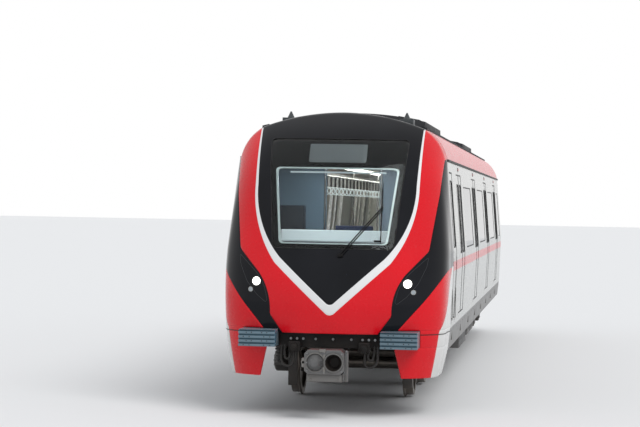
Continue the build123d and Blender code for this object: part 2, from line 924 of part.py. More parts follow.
with BuildPart() as gangway_frame:
    with BuildSketch(across(gangway_face - gangway_frame_depth)):
        with Locations((0, height((bellows_low + bellows_high) / 2))):
            RectangleRounded(bellows_width, bellows_high - bellows_low, 120.0)
        with Locations((0, height(floor_top + passage_height / 2))):
            Rectangle(passage_width, passage_height, mode=Mode.SUBTRACT)
    extrude(amount=-gangway_frame_depth)
save(gangway_frame.part, "gangway_frame")

# Ceiling across the saloon and cab partition
with BuildPart() as ceiling:
    low_half = half_width(ceiling_low, wall)
    high_half = half_width(ceiling_low + ceiling_thickness, wall)
    with BuildSketch(across(body_start + 200.0)):
        with BuildLine():
            Polyline(
                (-low_half, height(ceiling_low)),
                (low_half, height(ceiling_low)),
                (high_half, height(ceiling_low + ceiling_thickness)),
                (-high_half, height(ceiling_low + ceiling_thickness)),
                close=True,
            )
        make_face()
    extrude(amount=body_start + 200.0 - body_end + wall)
save(ceiling.part, "ceiling")

with BuildPart() as cab_partition:
    with BuildSketch(across(partition)):
        line = side_line(floor_top, ceiling_low, wall)
        with BuildLine():
            Polyline(*line, *[(-x, z) for x, z in reversed(line)], close=True)
        make_face()
    extrude(amount=-partition_thickness)
    add(cuboid((-partition_door_width / 2, partition_door_width / 2), (partition - 100.0, partition + 200.0),
               (floor_top, floor_top + partition_door_height)), mode=Mode.SUBTRACT)
save(cab_partition.part, "cab_partition")

# Driver's desk: sloping top on a hollow front, trimmed to the nose
with BuildPart() as driver_desk:
    with BuildSketch(beside(-desk_half)):
        with BuildLine():
            Polyline(*[(face + set_back, height(floor_top + rise)) for set_back, rise in desk_rows], close=True)
        make_face()
    extrude(amount=2 * desk_half)
    add(nose_solid(wall + desk_margin), mode=Mode.INTERSECT)
save(driver_desk.part, "driver_desk")

with BuildPart() as driver_seat:
    for radius, low, high in seat_post:
        add(upright(seat_x, seat_y, floor_top + low, floor_top + high, radius))
    with BuildSketch(beside(seat_x - seat_half)):
        with BuildLine():
            Polyline(*[(seat_y + run, height(floor_top + rise)) for run, rise in seat_rows], close=True)
        make_face()
    extrude(amount=2 * seat_half)
save(driver_seat.part, "driver_seat")

# Benches along both sides between the doors, with grab poles at their ends
with BuildPart() as benches:
    foot_level = floor_top + bench_height - bench_drop
    seat_level = floor_top + bench_height
    back_level = floor_top + bench_back_height
    wall_foot = half_width(foot_level, wall)
    wall_low = half_width(seat_level, wall)
    wall_high = half_width(back_level, wall)
    for centre in window_centres:
        with BuildSketch(across(centre - bench_length / 2)):
            with BuildLine():
                Polyline(
                    (wall_low - bench_depth, height(seat_level)),
                    (wall_foot - bench_drop, height(foot_level)),
                    (wall_foot, height(foot_level)),
                    (wall_low, height(seat_level)),
                    (wall_high - leaf_gap, height(back_level)),
                    (wall_high - bench_back_thickness, height(back_level)),
                    (wall_low - bench_back_foot, height(seat_level + bench_rise)),
                    (wall_low - bench_depth + bench_lip[0], height(seat_level + bench_lip[1])),
                    close=True,
                )
            make_face()
        extrude(amount=-bench_length)
    mirror(about=Plane.YZ)
save(benches.part, "benches")

with BuildPart() as grab_poles:
    for centre in door_centres:
        for offset in (-pole_offset, pole_offset):
            add(upright(offset, centre + door_width / 2 + 120.0, floor_top, ceiling_low, pole_radius))
save(grab_poles.part, "grab_poles")

# Roof air-conditioning units: sloped ends, two fan wells each, on the roof's arc
with BuildPart() as roof_units:
    for centre in unit_centres:
        with BuildSketch(across(centre - unit_length / 2)):
            edge = (unit_half, height(unit_side))
            with BuildLine():
                Polyline((-edge[0], edge[1]), (-edge[0], height(roof_edge)), (edge[0], height(roof_edge)), edge)
                ThreePointArc(edge, (0, height(unit_top)), (-edge[0], edge[1]))
            make_face()
        extrude(amount=-unit_length)
        for side in (-1, 1):
            end = centre + side * unit_length / 2
            with BuildSketch(beside(-unit_half)):
                with BuildLine():
                    Polyline(
                        (end, height(unit_low_end)),
                        (end, height(unit_top)),
                        (end - side * unit_slope, height(unit_top)),
                        close=True,
                    )
                make_face()
            extrude(amount=2 * unit_half, mode=Mode.SUBTRACT)
            with Locations((0, centre + side * fan_pitch / 2, height(unit_top - fan_depth))):
                Cylinder(fan_radius, 2 * fan_depth, align=(Align.CENTER, Align.CENTER, Align.MIN),
                         mode=Mode.SUBTRACT)
    add(roof.part, mode=Mode.SUBTRACT)
    add(body_solid(body_start, body_end, wall / 2, sill_low), mode=Mode.SUBTRACT)
save(roof_units.part, "roof_units")

with BuildPart() as antennas:
    for side in (-1, 1):
        plate_x = (side * antenna_offset - antenna_plate[0] / 2, side * antenna_offset + antenna_plate[0] / 2)
        plate_y = (antenna_y - antenna_plate[1] / 2, antenna_y + antenna_plate[1] / 2)
        add(cuboid(plate_x, plate_y, (roof_edge, antenna_plate_top)))
        with Locations((side * antenna_offset, antenna_y, height(antenna_plate_top))):
            Cone(antenna_cone[0], antenna_cone[1], antenna_tip - antenna_plate_top,
                 align=(Align.CENTER, Align.CENTER, Align.MIN))
    add(body_solid(body_start, body_end, 0.0, sill_low), mode=Mode.SUBTRACT)
save(antennas.part, "antennas")

# Wiper: twin arms and an upright blade just off the glass, its pivot on the mask
wiper_pivot = (95.0, 1905.0)
wiper_elbow = (575.0, 2490.0)
wiper_blade = (575.0, 2060.0, 2800.0)
wiper_bar = 11.0
wiper_spread = 30.0


def front_strip(first, last, half):
    """A straight strip seen from the front, run back through the cab."""
    run = (last[0] - first[0], last[1] - first[1])
    length = math.hypot(*run)
    side = (-run[1] / length * half, run[0] / length * half)
    with BuildPart() as strip:
        with BuildSketch(across(face - front_clearance)):
            with BuildLine():
                Polyline(
                    (first[0] + side[0], height(first[1] + side[1])),
                    (last[0] + side[0], height(last[1] + side[1])),
                    (last[0] - side[0], height(last[1] - side[1])),
                    (first[0] - side[0], height(first[1] - side[1])),
                    close=True,
                )
            make_face()
        extrude(amount=face - front_clearance - cab_seam)
    return strip.part


def front_disc(centre, radius):
    """A round outline seen from the front, run back through the cab."""
    with BuildPart() as disc:
        with BuildSketch(across(face - front_clearance)):
            with Locations((centre[0], height(centre[1]))):
                Circle(radius)
        extrude(amount=face - front_clearance - cab_seam)
    return disc.part


wiper_arm_layer = nose_solid(-34.0) - nose_solid(-16.0)
wiper_blade_layer = nose_solid(-16.0) - nose_solid(-fit_gap)
wiper_boss_layer = nose_solid(-34.0) - nose_outer
with BuildPart() as wiper:
    for shift in (0.0, wiper_spread):
        start = (wiper_pivot[0] + shift, wiper_pivot[1])
        end = (wiper_elbow[0], wiper_elbow[1] - shift * 1.2)
        add(wiper_arm_layer.intersect(front_strip(start, end, wiper_bar)))
        add(wiper_boss_layer.intersect(front_disc(start, 2 * wiper_bar)))
    blade_low = (wiper_blade[0], wiper_blade[1])
    blade_high = (wiper_blade[0], wiper_blade[2])
    add(wiper_blade_layer.intersect(front_strip(blade_low, blade_high, 0.6 * wiper_bar)))
    add(wiper_arm_layer.intersect(front_strip(blade_low, blade_high, 0.4 * wiper_bar)))
save(wiper.part, "wiper")

# Underfloor cases hung from the floor slab: start behind the face, length, inner and outer offset, low edge
converter_row = (7000.0, 2100.0, -1220.0, 1220.0, 420.0)
battery_rows = (
    (9500.0, 1000.0, 350.0, 1220.0, 480.0),
    (10650.0, 1000.0, 350.0, 1220.0, 480.0),
    (9500.0, 1000.0, -1220.0, -350.0, 480.0),
    (10650.0, 1000.0, -1220.0, -350.0, 480.0),
)
brake_row = (12050.0, 1450.0, -1200.0, -300.0, 500.0)
louvre_count = 9
louvre_pitch = 220.0
louvre_first = 180.0
louvre_width = 60.0
louvre_depth = 25.0
louvre_levels = (500.0, 860.0)


def case(row):
    """A case between two set-backs and two offsets, its top against the floor slab."""
    start, length, inner, outer, low = row
    return cuboid((inner, outer), (face + start, face + start + length), (low, underframe_low))


with BuildPart() as converter_case:
    add(case(converter_row))
    for index in range(louvre_count):
        y = face + converter_row[0] + louvre_first + index * louvre_pitch
        for edge in converter_row[2:4]:
            add(cuboid((edge - louvre_depth, edge + louvre_depth), (y, y + louvre_width), louvre_levels),
                mode=Mode.SUBTRACT)
save(converter_case.part, "converter_case")

with BuildPart() as battery_cases:
    for row in battery_rows:
        add(case(row))
save(battery_cases.part, "battery_cases")

with BuildPart() as brake_case:
    add(case(brake_row))
save(brake_case.part, "brake_case")

reservoir_radius = 190.0
reservoir_start = face + 12050.0
reservoir_length = 1400.0
reservoir_offsets = (450.0, 950.0)
reservoir_end_radius = 60.0
reservoir_drop = 60.0
strap_starts = (face + 12300.0, face + 13100.0)
strap_size = (60.0, 50.0, 90.0)
with BuildPart() as air_reservoirs:
    for offset in reservoir_offsets:
        with BuildSketch(across(reservoir_start)):
            with Locations((offset, height(underframe_low - reservoir_drop - reservoir_radius))):
                Circle(reservoir_radius)
        extrude(amount=-reservoir_length)
    fillet(air_reservoirs.edges(), reservoir_end_radius)
    for offset in reservoir_offsets:
        for y in strap_starts:
            add(cuboid((offset - strap_size[0], offset + strap_size[0]), (y, y + strap_size[1]),
                       (underframe_low - strap_size[2], underframe_low)))
save(air_reservoirs.part, "air_reservoirs")

# Bogies: frame on axleboxes, air springs, brake units; wheelsets turn in the axleboxes
wheel_inner = back_to_back / 2
wheel_outer = wheel_inner + rim_width
wheel_names = ("wheelset_1", "wheelset_2", "wheelset_3", "wheelset_4")
axle_places = [centre + side * half_base for centre in bogie_centres for side in (-1, 1)]
for name, axle_y in zip(wheel_names, axle_places):
    half_profile = (
        (0.0, axle_radius),
        (wheel_inner - 36.0, axle_radius),
        (wheel_inner - 21.0, axle_radius + 15.0),
        (wheel_inner - 21.0, axle_radius + 50.0),
        (wheel_inner + 50.0, axle_radius + 65.0),
        (wheel_inner + 45.0, wheel_radius - 75.0),
        (wheel_inner, wheel_radius - 60.0),
        (wheel_inner, wheel_radius + flange_depth - 15.0),
        (wheel_inner + 8.0, wheel_radius + flange_depth),
        (wheel_inner + flange_width - 12.0, wheel_radius + flange_depth),
        (wheel_inner + flange_width + 6.0, wheel_radius + 1.0),
        (wheel_outer, wheel_radius - 3.0),
        (wheel_outer, wheel_radius - 60.0),
        (wheel_outer - 45.0, wheel_radius - 75.0),
        (wheel_outer - 48.0, axle_radius + 65.0),
        (wheel_outer + 20.0, axle_radius + 45.0),
        (wheel_outer + 20.0, axle_radius + 5.0),
        (journal_offset - box_width / 2 - 12.0, journal_radius + 12.0),
        (journal_offset - box_width / 2 + 5.0, journal_radius),
        (journal_offset + box_width / 2 - 30.0, journal_radius),
    )
    with BuildPart() as wheelset:
        with BuildSketch(Plane(origin=(0, axle_y, height(wheel_radius)), x_dir=(1, 0, 0), z_dir=(0, -1, 0))):
            with BuildLine():
                left_profile = [(-x, r) for x, r in reversed(half_profile[1:])]
                end_x = half_profile[-1][0]
                Polyline((-end_x, 0), *left_profile, *half_profile, (end_x, 0), close=True)
            make_face()
        revolve(axis=Axis((0, axle_y, height(wheel_radius)), (1, 0, 0)))
    save(wheelset.part, name)


def bogie_frame(centre):
    """H-shaped frame: two cranked side beams and two round transoms either side of the pivot."""
    end, shoulder, knee = frame_end, frame_shoulder, frame_knee
    outline = (
        (-end, frame_end_low), (-shoulder, frame_end_low), (-knee, frame_mid_low),
        (knee, frame_mid_low), (shoulder, frame_end_low), (end, frame_end_low),
        (end, frame_end_high - frame_nose), (end - frame_nose_run, frame_end_high), (shoulder, frame_end_high),
        (knee, frame_mid_high), (-knee, frame_mid_high), (-shoulder, frame_end_high),
        (-end + frame_nose_run, frame_end_high), (-end, frame_end_high - frame_nose),
    )
    with BuildPart() as frame:
        for side in (-1, 1):
            with BuildSketch(beside(side * journal_offset - frame_width / 2)):
                with BuildLine():
                    Polyline(*[(centre + y, height(z)) for y, z in outline], close=True)
                make_face()
            extrude(amount=frame_width)
        for side in (-1, 1):
            add(crossbar((-journal_offset, journal_offset), centre + side * transom_offset,
                         transom_height, transom_radius))
        add(cuboid((-pivot_beam_half, pivot_beam_half), (centre - transom_offset, centre + transom_offset),
                   (transom_height - pivot_beam_rise, transom_height + pivot_beam_rise)))
        with Locations((0, centre, height(transom_height))):
            Cylinder(pivot_radius + fit_gap, 400.0, mode=Mode.SUBTRACT)
        for end_side in (-1, 1):
            tip = centre + end_side * guard_reach
            root = centre + end_side * (frame_end - guard_thickness)
            back = tip - end_side * guard_thickness
            for side in (-1, 1):
                outer = journal_offset + frame_width / 2
                arm = sorted((side * (outer - guard_thickness), side * outer))
                add(cuboid(arm, sorted((root, tip)), (frame_end_low, frame_end_low + 2 * guard_thickness)))
                add(cuboid(sorted((side * guard_inner, side * outer)), sorted((back, tip)),
                           (frame_end_low, frame_end_low + 2 * guard_thickness)))
                add(cuboid(sorted((side * guard_inner, side * (guard_inner + 3 * guard_thickness))),
                           sorted((back, tip)), (guard_low, frame_end_low)))
    return frame.part


def axleboxes(centre):
    """Four axlebox housings, each with a spring either side up to the frame."""
    bore = journal_radius + fit_gap
    seal = journal_radius + 12.0 + fit_gap
    inner = journal_offset - box_width / 2
    outer = journal_offset + box_width / 2
    with BuildPart() as boxes:
        for end in (-1, 1):
            axle_y = centre + end * half_base
            axle = Plane(origin=(0, axle_y, height(wheel_radius)), x_dir=(1, 0, 0), z_dir=(0, -1, 0))
            with BuildSketch(axle):
                with BuildLine():
                    Polyline(
                        (inner, seal),
                        (inner + 5.0 + fit_gap, seal),
                        (inner + 5.0 + fit_gap, bore),
                        (outer - 30.0 + fit_gap, bore),
                        (outer - 30.0 + fit_gap, 0),
                        (outer, 0),
                        (outer, box_radius - 20.0),
                        (outer - 20.0, box_radius),
                        (inner, box_radius),
                        close=True,
                    )
                make_face()
            revolve(axis=Axis((0, axle_y, height(wheel_radius)), (1, 0, 0)))
            for shift in (-spring_offset, spring_offset):
                wing = (box_radius - 25.0, spring_offset + spring_radius + 8.0)
                y_range = sorted((axle_y + math.copysign(w, shift) for w in wing))
                add(cuboid((inner + 20.0, outer - 25.0), y_range, (wheel_radius - 50.0, wheel_radius - 10.0)))
                add(upright(journal_offset, axle_y + shift, wheel_radius - 10.0, frame_end_low, spring_radius))
        mirror(about=Plane.YZ)
    return boxes.part


def air_springs(centre):
    """Two rolling-lobe air springs between the side beams and the floor slab."""
    lobe = air_spring_radius
    with BuildPart() as springs:
        for side in (-1, 1):
            base = Plane(origin=(side * journal_offset, centre, 0), x_dir=(1, 0, 0), z_dir=(0, -1, 0))
            with BuildSketch(base):
                with BuildLine():
                    Polyline(
                        (0, height(underframe_low - fit_gap)),
                        (0, height(frame_mid_high)),
                        (lobe * 0.55, height(frame_mid_high)),
                        (lobe * 0.55, height(frame_mid_high + 50.0)),
                        (lobe * 0.9, height(frame_mid_high + 65.0)),
                        (lobe, height(frame_mid_high + 110.0)),
                        (lobe * 0.94, height(underframe_low - 35.0)),
                        (lobe * 0.8, height(underframe_low - 20.0)),
                        (lobe * 0.8, height(underframe_low - fit_gap)),
                        close=True,
                    )
                make_face()
            revolve(axis=Axis((side * journal_offset, centre, 0), (0, 0, 1)))
    return springs.part


def brake_units(centre):
    """Four tread brakes: a cylinder on the transom and a shoe just off the wheel."""
    wheel_middle = (wheel_inner + flange_width + wheel_outer) / 2
    gap = 6.0
    with BuildPart() as units:
        for end in (-1, 1):
            for side in (-1, 1):
                x = side * wheel_middle
                axle_y = centre + end * half_base
                near = axle_y - end * (wheel_radius + gap)
                seat = centre + end * (transom_offset + transom_radius - 20.0)
                add(cuboid((x - 45.0, x + 45.0), (min(near, seat), max(near, seat)),
                           (transom_height - 130.0, transom_height + 30.0)))
        for end in (-1, 1):
            add(crossbar((-wheel_outer - 30.0, wheel_outer + 30.0), centre + end * half_base,
                         wheel_radius, wheel_radius + gap + flange_depth), mode=Mode.SUBTRACT)
            add(crossbar((-journal_offset, journal_offset), centre + end * transom_offset,
                         transom_height, transom_radius), mode=Mode.SUBTRACT)
    return units.part


for place, centre in zip(("front", "rear"), bogie_centres):
    save(bogie_frame(centre), "bogie_frame_" + place)
    save(axleboxes(centre), "axleboxes_" + place)
    save(air_springs(centre), "air_springs_" + place)
    save(brake_units(centre), "brake_units_" + place)

# Front coupler: head with cone and funnel, shank and eye round the pivot pin
head_back = face + 30.0
head_face = face - coupler_reach + 90.0
head_half = 235.0
head_low = 520.0
head_high = 810.0
cone_offset = -105.0
funnel_offset = 110.0
with BuildPart() as coupler:
    with BuildSketch(across(head_face)) as head_outline:
        with Locations((0, height((head_low + head_high) / 2))):
            Rectangle(2 * head_half, head_high - head_low)
        chamfer(head_outline.vertices(), 45.0)
    extrude(amount=head_face - head_back)
    cone_plane = Plane(origin=(cone_offset, head_face, height(coupler_height)), x_dir=(1, 0, 0), z_dir=(0, -1, 0))
    with BuildSketch(cone_plane):
        Circle(100.0)
    with BuildSketch(cone_plane.offset(90.0)):
        Circle(42.0)
    loft()
    funnel_plane = Plane(origin=(funnel_offset, head_face, height(coupler_height)), x_dir=(1, 0, 0), z_dir=(0, -1, 0))
    with BuildSketch(funnel_plane):
        Circle(102.0)
    with BuildSketch(funnel_plane.offset(-130.0)):
        Circle(60.0)
    loft(mode=Mode.SUBTRACT)
    add(cuboid((-210.0, 210.0), (face - 260.0, face - 20.0), (430.0, head_low)))
    add(cuboid((head_half - 5.0, head_half + 35.0), (face - 180.0, face - 120.0), (430.0, 790.0)))
    with BuildSketch(across(head_back)):
        with Locations((0, height(coupler_height))):
            Circle(shank_radius)
    extrude(amount=head_back - coupler_pivot + 60.0)
    add(upright(0.0, coupler_pivot, coupler_height - 75.0, coupler_height + 75.0, 100.0))
    add(upright(0.0, coupler_pivot, coupler_height - 200.0, coupler_height + 200.0,
                pivot_pin_radius + fit_gap), mode=Mode.SUBTRACT)
save(coupler.part, "coupler")

with BuildPart() as rear_drawbar:
    with BuildSketch(across(drawbar_pivot)):
        with Locations((0, height(coupler_height))):
            Circle(shank_radius)
    extrude(amount=drawbar_pivot - gangway_face)
    with BuildSketch(across(gangway_face - 40.0)):
        with Locations((0, height(coupler_height))):
            Circle(150.0)
    extrude(amount=-40.0)
    with BuildSketch(across(gangway_face - front_clearance)):
        with Locations((0, height(coupler_height))):
            with PolarLocations(flange_bolt_circle / 2, flange_bolts):
                Circle(flange_bolt_hole)
    extrude(amount=-200.0, mode=Mode.SUBTRACT)
    add(upright(0.0, drawbar_pivot, coupler_height - 75.0, coupler_height + 75.0, 100.0))
    add(upright(0.0, drawbar_pivot, coupler_height - 200.0, coupler_height + 200.0,
                pivot_pin_radius + fit_gap), mode=Mode.SUBTRACT)
save(rear_drawbar.part, "rear_drawbar")
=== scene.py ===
"""Looks of a metro lead car: smooth nose skins, finishes, fittings, camera and studio."""
import json
import logging
import math
from dataclasses import dataclass, field
from enum import Enum
from typing import Callable, Optional, Sequence

import bmesh
import bpy
import numpy as np
from mathutils import Matrix, Vector

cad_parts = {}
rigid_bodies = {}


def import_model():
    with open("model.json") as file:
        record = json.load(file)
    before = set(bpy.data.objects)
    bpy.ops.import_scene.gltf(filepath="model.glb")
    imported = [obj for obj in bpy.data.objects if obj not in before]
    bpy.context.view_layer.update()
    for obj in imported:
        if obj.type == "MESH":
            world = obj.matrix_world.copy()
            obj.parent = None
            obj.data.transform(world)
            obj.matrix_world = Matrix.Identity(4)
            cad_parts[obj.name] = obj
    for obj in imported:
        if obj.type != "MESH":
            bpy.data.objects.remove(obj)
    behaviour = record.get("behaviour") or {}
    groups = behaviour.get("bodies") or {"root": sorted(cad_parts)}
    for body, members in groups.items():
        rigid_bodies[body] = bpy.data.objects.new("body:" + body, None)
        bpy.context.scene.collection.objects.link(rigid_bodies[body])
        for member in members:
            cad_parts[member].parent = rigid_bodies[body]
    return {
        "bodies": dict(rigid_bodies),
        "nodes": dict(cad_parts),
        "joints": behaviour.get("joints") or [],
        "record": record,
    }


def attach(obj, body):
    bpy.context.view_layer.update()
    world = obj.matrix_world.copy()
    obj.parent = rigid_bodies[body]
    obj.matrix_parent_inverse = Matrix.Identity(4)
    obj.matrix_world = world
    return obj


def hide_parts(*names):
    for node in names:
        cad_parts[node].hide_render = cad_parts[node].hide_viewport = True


log = logging.getLogger("metro_car")

# The rail's height in the frame and the cab seam's set-back from the face are in millimetres,
# and the face's place along the car is in metres.
RAIL = 28.0
SEAM = 1600.0
FACE_Y = -10.125
CAR = "car"
FLIP = (-1.0, 1.0, 1.0)

AHEAD = (0.0, -1.0, 0.0)
ALONG = (0.0, 1.0, 0.0)
UP = (0.0, 0.0, 1.0)
LEVEL = (0.0, 0.0, 0.0)

Triple = tuple[float, float, float]
Curve = np.ndarray
Solid = tuple[np.ndarray, Sequence[Sequence[int]]]
Socket = bpy.types.NodeSocket


def metres(points: Sequence) -> np.ndarray:
    """Turns (x, set-back, height above rail) in millimetres into the frame's metres.

    Args:
        points: array whose last axis is x, set-back from the face and height above the rail.

    Returns:
        The same points in the frame, in metres.
    """
    out = np.array(points, float) / 1000.0
    out[..., 1] += FACE_Y
    out[..., 2] += RAIL / 1000.0
    return out


def linear(colour: Triple) -> tuple[float, float, float, float]:
    """Turns a display colour into the linear one that a shader takes.

    Args:
        colour: red, green and blue as displayed, from 0 to 255.

    Returns:
        Linear red, green, blue and an alpha of 1.
    """
    parts = [c / 255.0 for c in colour]
    turned = [p / 12.92 if p <= 0.04045 else ((p + 0.055) / 1.055) ** 2.4 for p in parts]
    return (*turned, 1.0)


def placed(name: str, data: bpy.types.ID) -> bpy.types.Object:
    """A new object in the scene with given data."""
    bpy.context.scene.collection.objects.link(bpy.data.objects.new(name, data))
    return bpy.data.objects[name]


class Graph:
    """A node tree written as calls whose results feed other calls."""

    def __init__(self, tree: bpy.types.NodeTree) -> None:
        """Keeps the tree."""
        self.tree = tree

    def fill(self, node: bpy.types.Node, inputs: dict[object, object]) -> None:
        """Sets or links inputs of a node.

        Args:
            node: the node.
            inputs: a value or socket for its inputs, by name or number.
        """
        for key, value in inputs.items():
            if isinstance(value, Socket):
                self.tree.links.new(value, node.inputs[key])
            else:
                node.inputs[key].default_value = value

    def node(self, kind: str, inputs: dict[object, object], give: object = 0, **settings: object) -> Socket:
        """Adds a node.

        Args:
            kind: its type.
            inputs: a value or socket for its inputs, by name or number.
            give: name or number of the output wanted.
            settings: its own properties.

        Returns:
            That output.
        """
        node = self.tree.nodes.new(kind)
        for key, value in settings.items():
            setattr(node, key, value)
        self.fill(node, inputs)
        return node.outputs[give]

    def maths(self, operation: str, *values: object) -> Socket:
        """Result of a Math node."""
        return self.node("ShaderNodeMath", dict(enumerate(values)), operation=operation)


class Paint(Graph):
    """A material whose patterns lie on Object coordinates."""

    def __init__(self, name: str) -> None:
        """Starts the material.

        Args:
            name: material name.
        """
        self.material = bpy.data.materials.new(name)
        self.material.use_nodes = True
        super().__init__(self.material.node_tree)
        self.shader = self.tree.nodes["Principled BSDF"]
        self.place = self.node("ShaderNodeTexCoord", {}, "Object")

    def axis(self, name: str) -> Socket:
        """One coordinate of the shaded point."""
        return self.node("ShaderNodeSeparateXYZ", {0: self.place}, name)

    def noise(self, scale: float, stretch: float, detail: float) -> Socket:
        """Noise of a scale and detail, drawn out along the car."""
        long = self.node("ShaderNodeMapping", {"Vector": self.place, "Scale": (1.0, 1.0 / stretch, 1.0)})
        return self.node("ShaderNodeTexNoise", {"Vector": long, "Scale": scale, "Detail": detail}, "Fac")

    def ranged(self, source: Socket, ends: Sequence[float], values: Sequence[float]) -> Socket:
        """Maps a value from its ends to given values."""
        names = ("From Min", "From Max", "To Min", "To Max")
        return self.node("ShaderNodeMapRange", {"Value": source, **dict(zip(names, (*ends, *values)))})

    def mixed(self, share: Socket, first: object, second: object) -> Socket:
        """Mixes two colours or sockets, by the share of the second."""
        return self.node("ShaderNodeMix", {0: share, 6: first, 7: second}, 2, data_type="RGBA")

    def bump(self, height: Socket, strength: float, distance: float, **below: Socket) -> Socket:
        """A normal that follows a height, over one below it if given."""
        inputs = {"Height": height, "Strength": strength, "Distance": distance, **below}
        return self.node("ShaderNodeBump", inputs, "Normal")


class Coat(Enum):
    """How a finish is lacquered: the lacquer's weight and roughness."""

    BARE = (0.0, 0.04)
    SATIN = (0.2, 0.25)
    GLOSS = (0.25, 0.04)


@dataclass(frozen=True)
class Band:
    """A stripe painted along the side, with its edges in metres above the rail."""

    colour: Triple
    low: float
    high: float


@dataclass(frozen=True)
class Seam:
    """An upright joint line of a half width, repeated along the side from a start at a pitch."""

    start: float
    pitch: float
    half: float


@dataclass(frozen=True)
class Look:
    """A material that is made once and shared; the slot name that it carries is not used."""

    name: str
    slot: str

    def make(self) -> bpy.types.Material:
        """Gives the material.

        Returns:
            The known one of this name, or a new one.
        """
        known = bpy.data.materials.get(self.name)
        if known:
            return known
        paint = Paint(self.name)
        self.dress(paint)
        return paint.material

    def dress(self, paint: Paint) -> None:
        """Builds the material's nodes."""
        raise NotImplementedError


FULL = (0.0, 1.0)
MIDDLE = (0.3, 0.7)
JOINT_SHADE = linear((52, 52, 54))
DUST_SHADE = linear((96, 84, 72))
WORN_SHADE = linear((150, 146, 140))


@dataclass(frozen=True)
class Finish(Look):
    """A procedural finish with colour variation, grime, roughness and bump from its nodes.

    Attributes:
        colour: displayed base colour.
        roughness: middle roughness.
        metallic: metal share.
        coat: lacquer over the colour.
        variation: how far the colour drifts over the surface.
        patch: size of the drift's patches, as noise scale.
        grain: noise scale of the fine grain.
        bump: strength of the fine bump.
        grime: share of dust low down on the piece.
        grime_top: height in metres where the dust has faded out.
        ripple: strength of the slow waviness of sheet metal.
        glow: emission strength of lamps, and of a painted glow on pale parts that are no lamps.
        bands: stripes across the side.
        seams: upright joint lines along the side.
        inside: displayed colour of the inner face of a side panel.
        wear: share of bare edge wear.
        shine: how strongly the surface under any lacquer reflects.
    """

    colour: Triple
    roughness: float
    metallic: float = 0.0
    coat: Coat = Coat.BARE
    variation: float = 0.06
    patch: float = 1.6
    grain: float = 60.0
    bump: float = 0.02
    grime: float = 0.0
    grime_top: float = 1.3
    ripple: float = 0.0
    glow: float = 0.0
    bands: tuple[Band, ...] = ()
    seams: tuple[Seam, ...] = ()
    inside: Optional[Triple] = None
    wear: float = 0.0
    shine: float = 0.5

    def dress(self, paint: Paint) -> None:
        """Builds the finish's nodes.

        Args:
            paint: the material.
        """
        colour, metallic = self._drift(paint), self.metallic
        for band in self.bands:
            colour = self._stripe(paint, colour, band)
        for seam in self.seams:
            colour = self._joint(paint, colour, seam)
        if self.grime > 0.0:
            colour = self._dust(paint, colour)
        if self.wear > 0.0:
            edge = paint.node("ShaderNodeNewGeometry", {}, "Pointiness")
            colour = paint.mixed(paint.ranged(edge, (0.53, 0.62), (0.0, self.wear)), colour, WORN_SHADE)
        if self.inside:
            share = self._lining(paint)
            colour = paint.mixed(share, colour, linear(self.inside))
            metallic = paint.ranged(share, FULL, (self.metallic, 0.0))
        weight, spread = self.coat.value
        paint.fill(paint.shader, {
            "Base Color": colour, "Metallic": metallic, "Roughness": self._gloss(paint),
            "Normal": self._relief(paint), "Coat Weight": weight, "Coat Roughness": spread,
            "Specular IOR Level": self.shine})
        if self.glow > 0.0:
            paint.fill(paint.shader, {"Emission Color": colour, "Emission Strength": self.glow})

    def _drift(self, paint: Paint) -> Socket:
        """Lets the base colour drift in patches.

        Args:
            paint: the material.

        Returns:
            The colour.
        """
        base = np.array(linear(self.colour))
        low = np.clip(base * (1.0 - self.variation), 0.0, 1.0)
        high = np.clip(base * (1.0 + self.variation) + 0.012 * self.variation, 0.0, 1.0)
        low[3] = high[3] = 1.0
        share = paint.ranged(paint.noise(self.patch, 2.0, 6.0), MIDDLE, FULL)
        return paint.mixed(share, tuple(low), tuple(high))

    def _stripe(self, paint: Paint, colour: Socket, band: Band) -> Socket:
        """Paints one stripe.

        Args:
            paint: the material.
            colour: the colour under it.
            band: the stripe.

        Returns:
            The colour with the stripe.
        """
        soft, level = 0.0015, paint.axis("Z")
        ends = [(edge + RAIL / 1000.0 - soft, edge + RAIL / 1000.0 + soft) for edge in (band.low, band.high)]
        rise, fall = paint.ranged(level, ends[0], FULL), paint.ranged(level, ends[1], FULL[::-1])
        return paint.mixed(paint.maths("MULTIPLY", rise, fall), colour, linear(band.colour))

    def _joint(self, paint: Paint, colour: Socket, seam: Seam) -> Socket:
        """Draws dark upright lines along the car.

        Args:
            paint: the material.
            colour: the colour under them.
            seam: the lines.

        Returns:
            The colour with the lines.
        """
        half = seam.pitch / 2
        offset = paint.maths("WRAP", paint.maths("SUBTRACT", paint.axis("Y"), seam.start), half, -half)
        line = paint.maths("LESS_THAN", paint.maths("ABSOLUTE", offset), seam.half)
        return paint.mixed(line, colour, JOINT_SHADE)

    def _lining(self, paint: Paint) -> Socket:
        """Tells a side panel's inner face from its outer one.

        Args:
            paint: the material.

        Returns:
            One on what lies more than 12 mm inside the wall's outer skin.
        """
        leans, level = ((0.0333, 1.3288), (-0.0862, 1.5587)), paint.axis("Z")
        walls = [paint.maths("MULTIPLY_ADD", level, lean, foot) for lean, foot in leans]
        reach = paint.maths("ABSOLUTE", paint.axis("X"))
        return paint.maths("LESS_THAN", reach, paint.maths("MINIMUM", *walls))

    def _dust(self, paint: Paint, colour: Socket) -> Socket:
        """Gathers brown-grey dust low on the car, broken up by noise.

        Args:
            paint: the material.
            colour: the colour under it.

        Returns:
            The dusty colour.
        """
        fade = paint.ranged(paint.axis("Z"), (0.1, self.grime_top), (self.grime, 0.0))
        patches = paint.ranged(paint.noise(5.0, 1.5, 8.0), (0.35, 0.75), (0.35, 1.0))
        return paint.mixed(paint.maths("MULTIPLY", fade, patches), colour, DUST_SHADE)

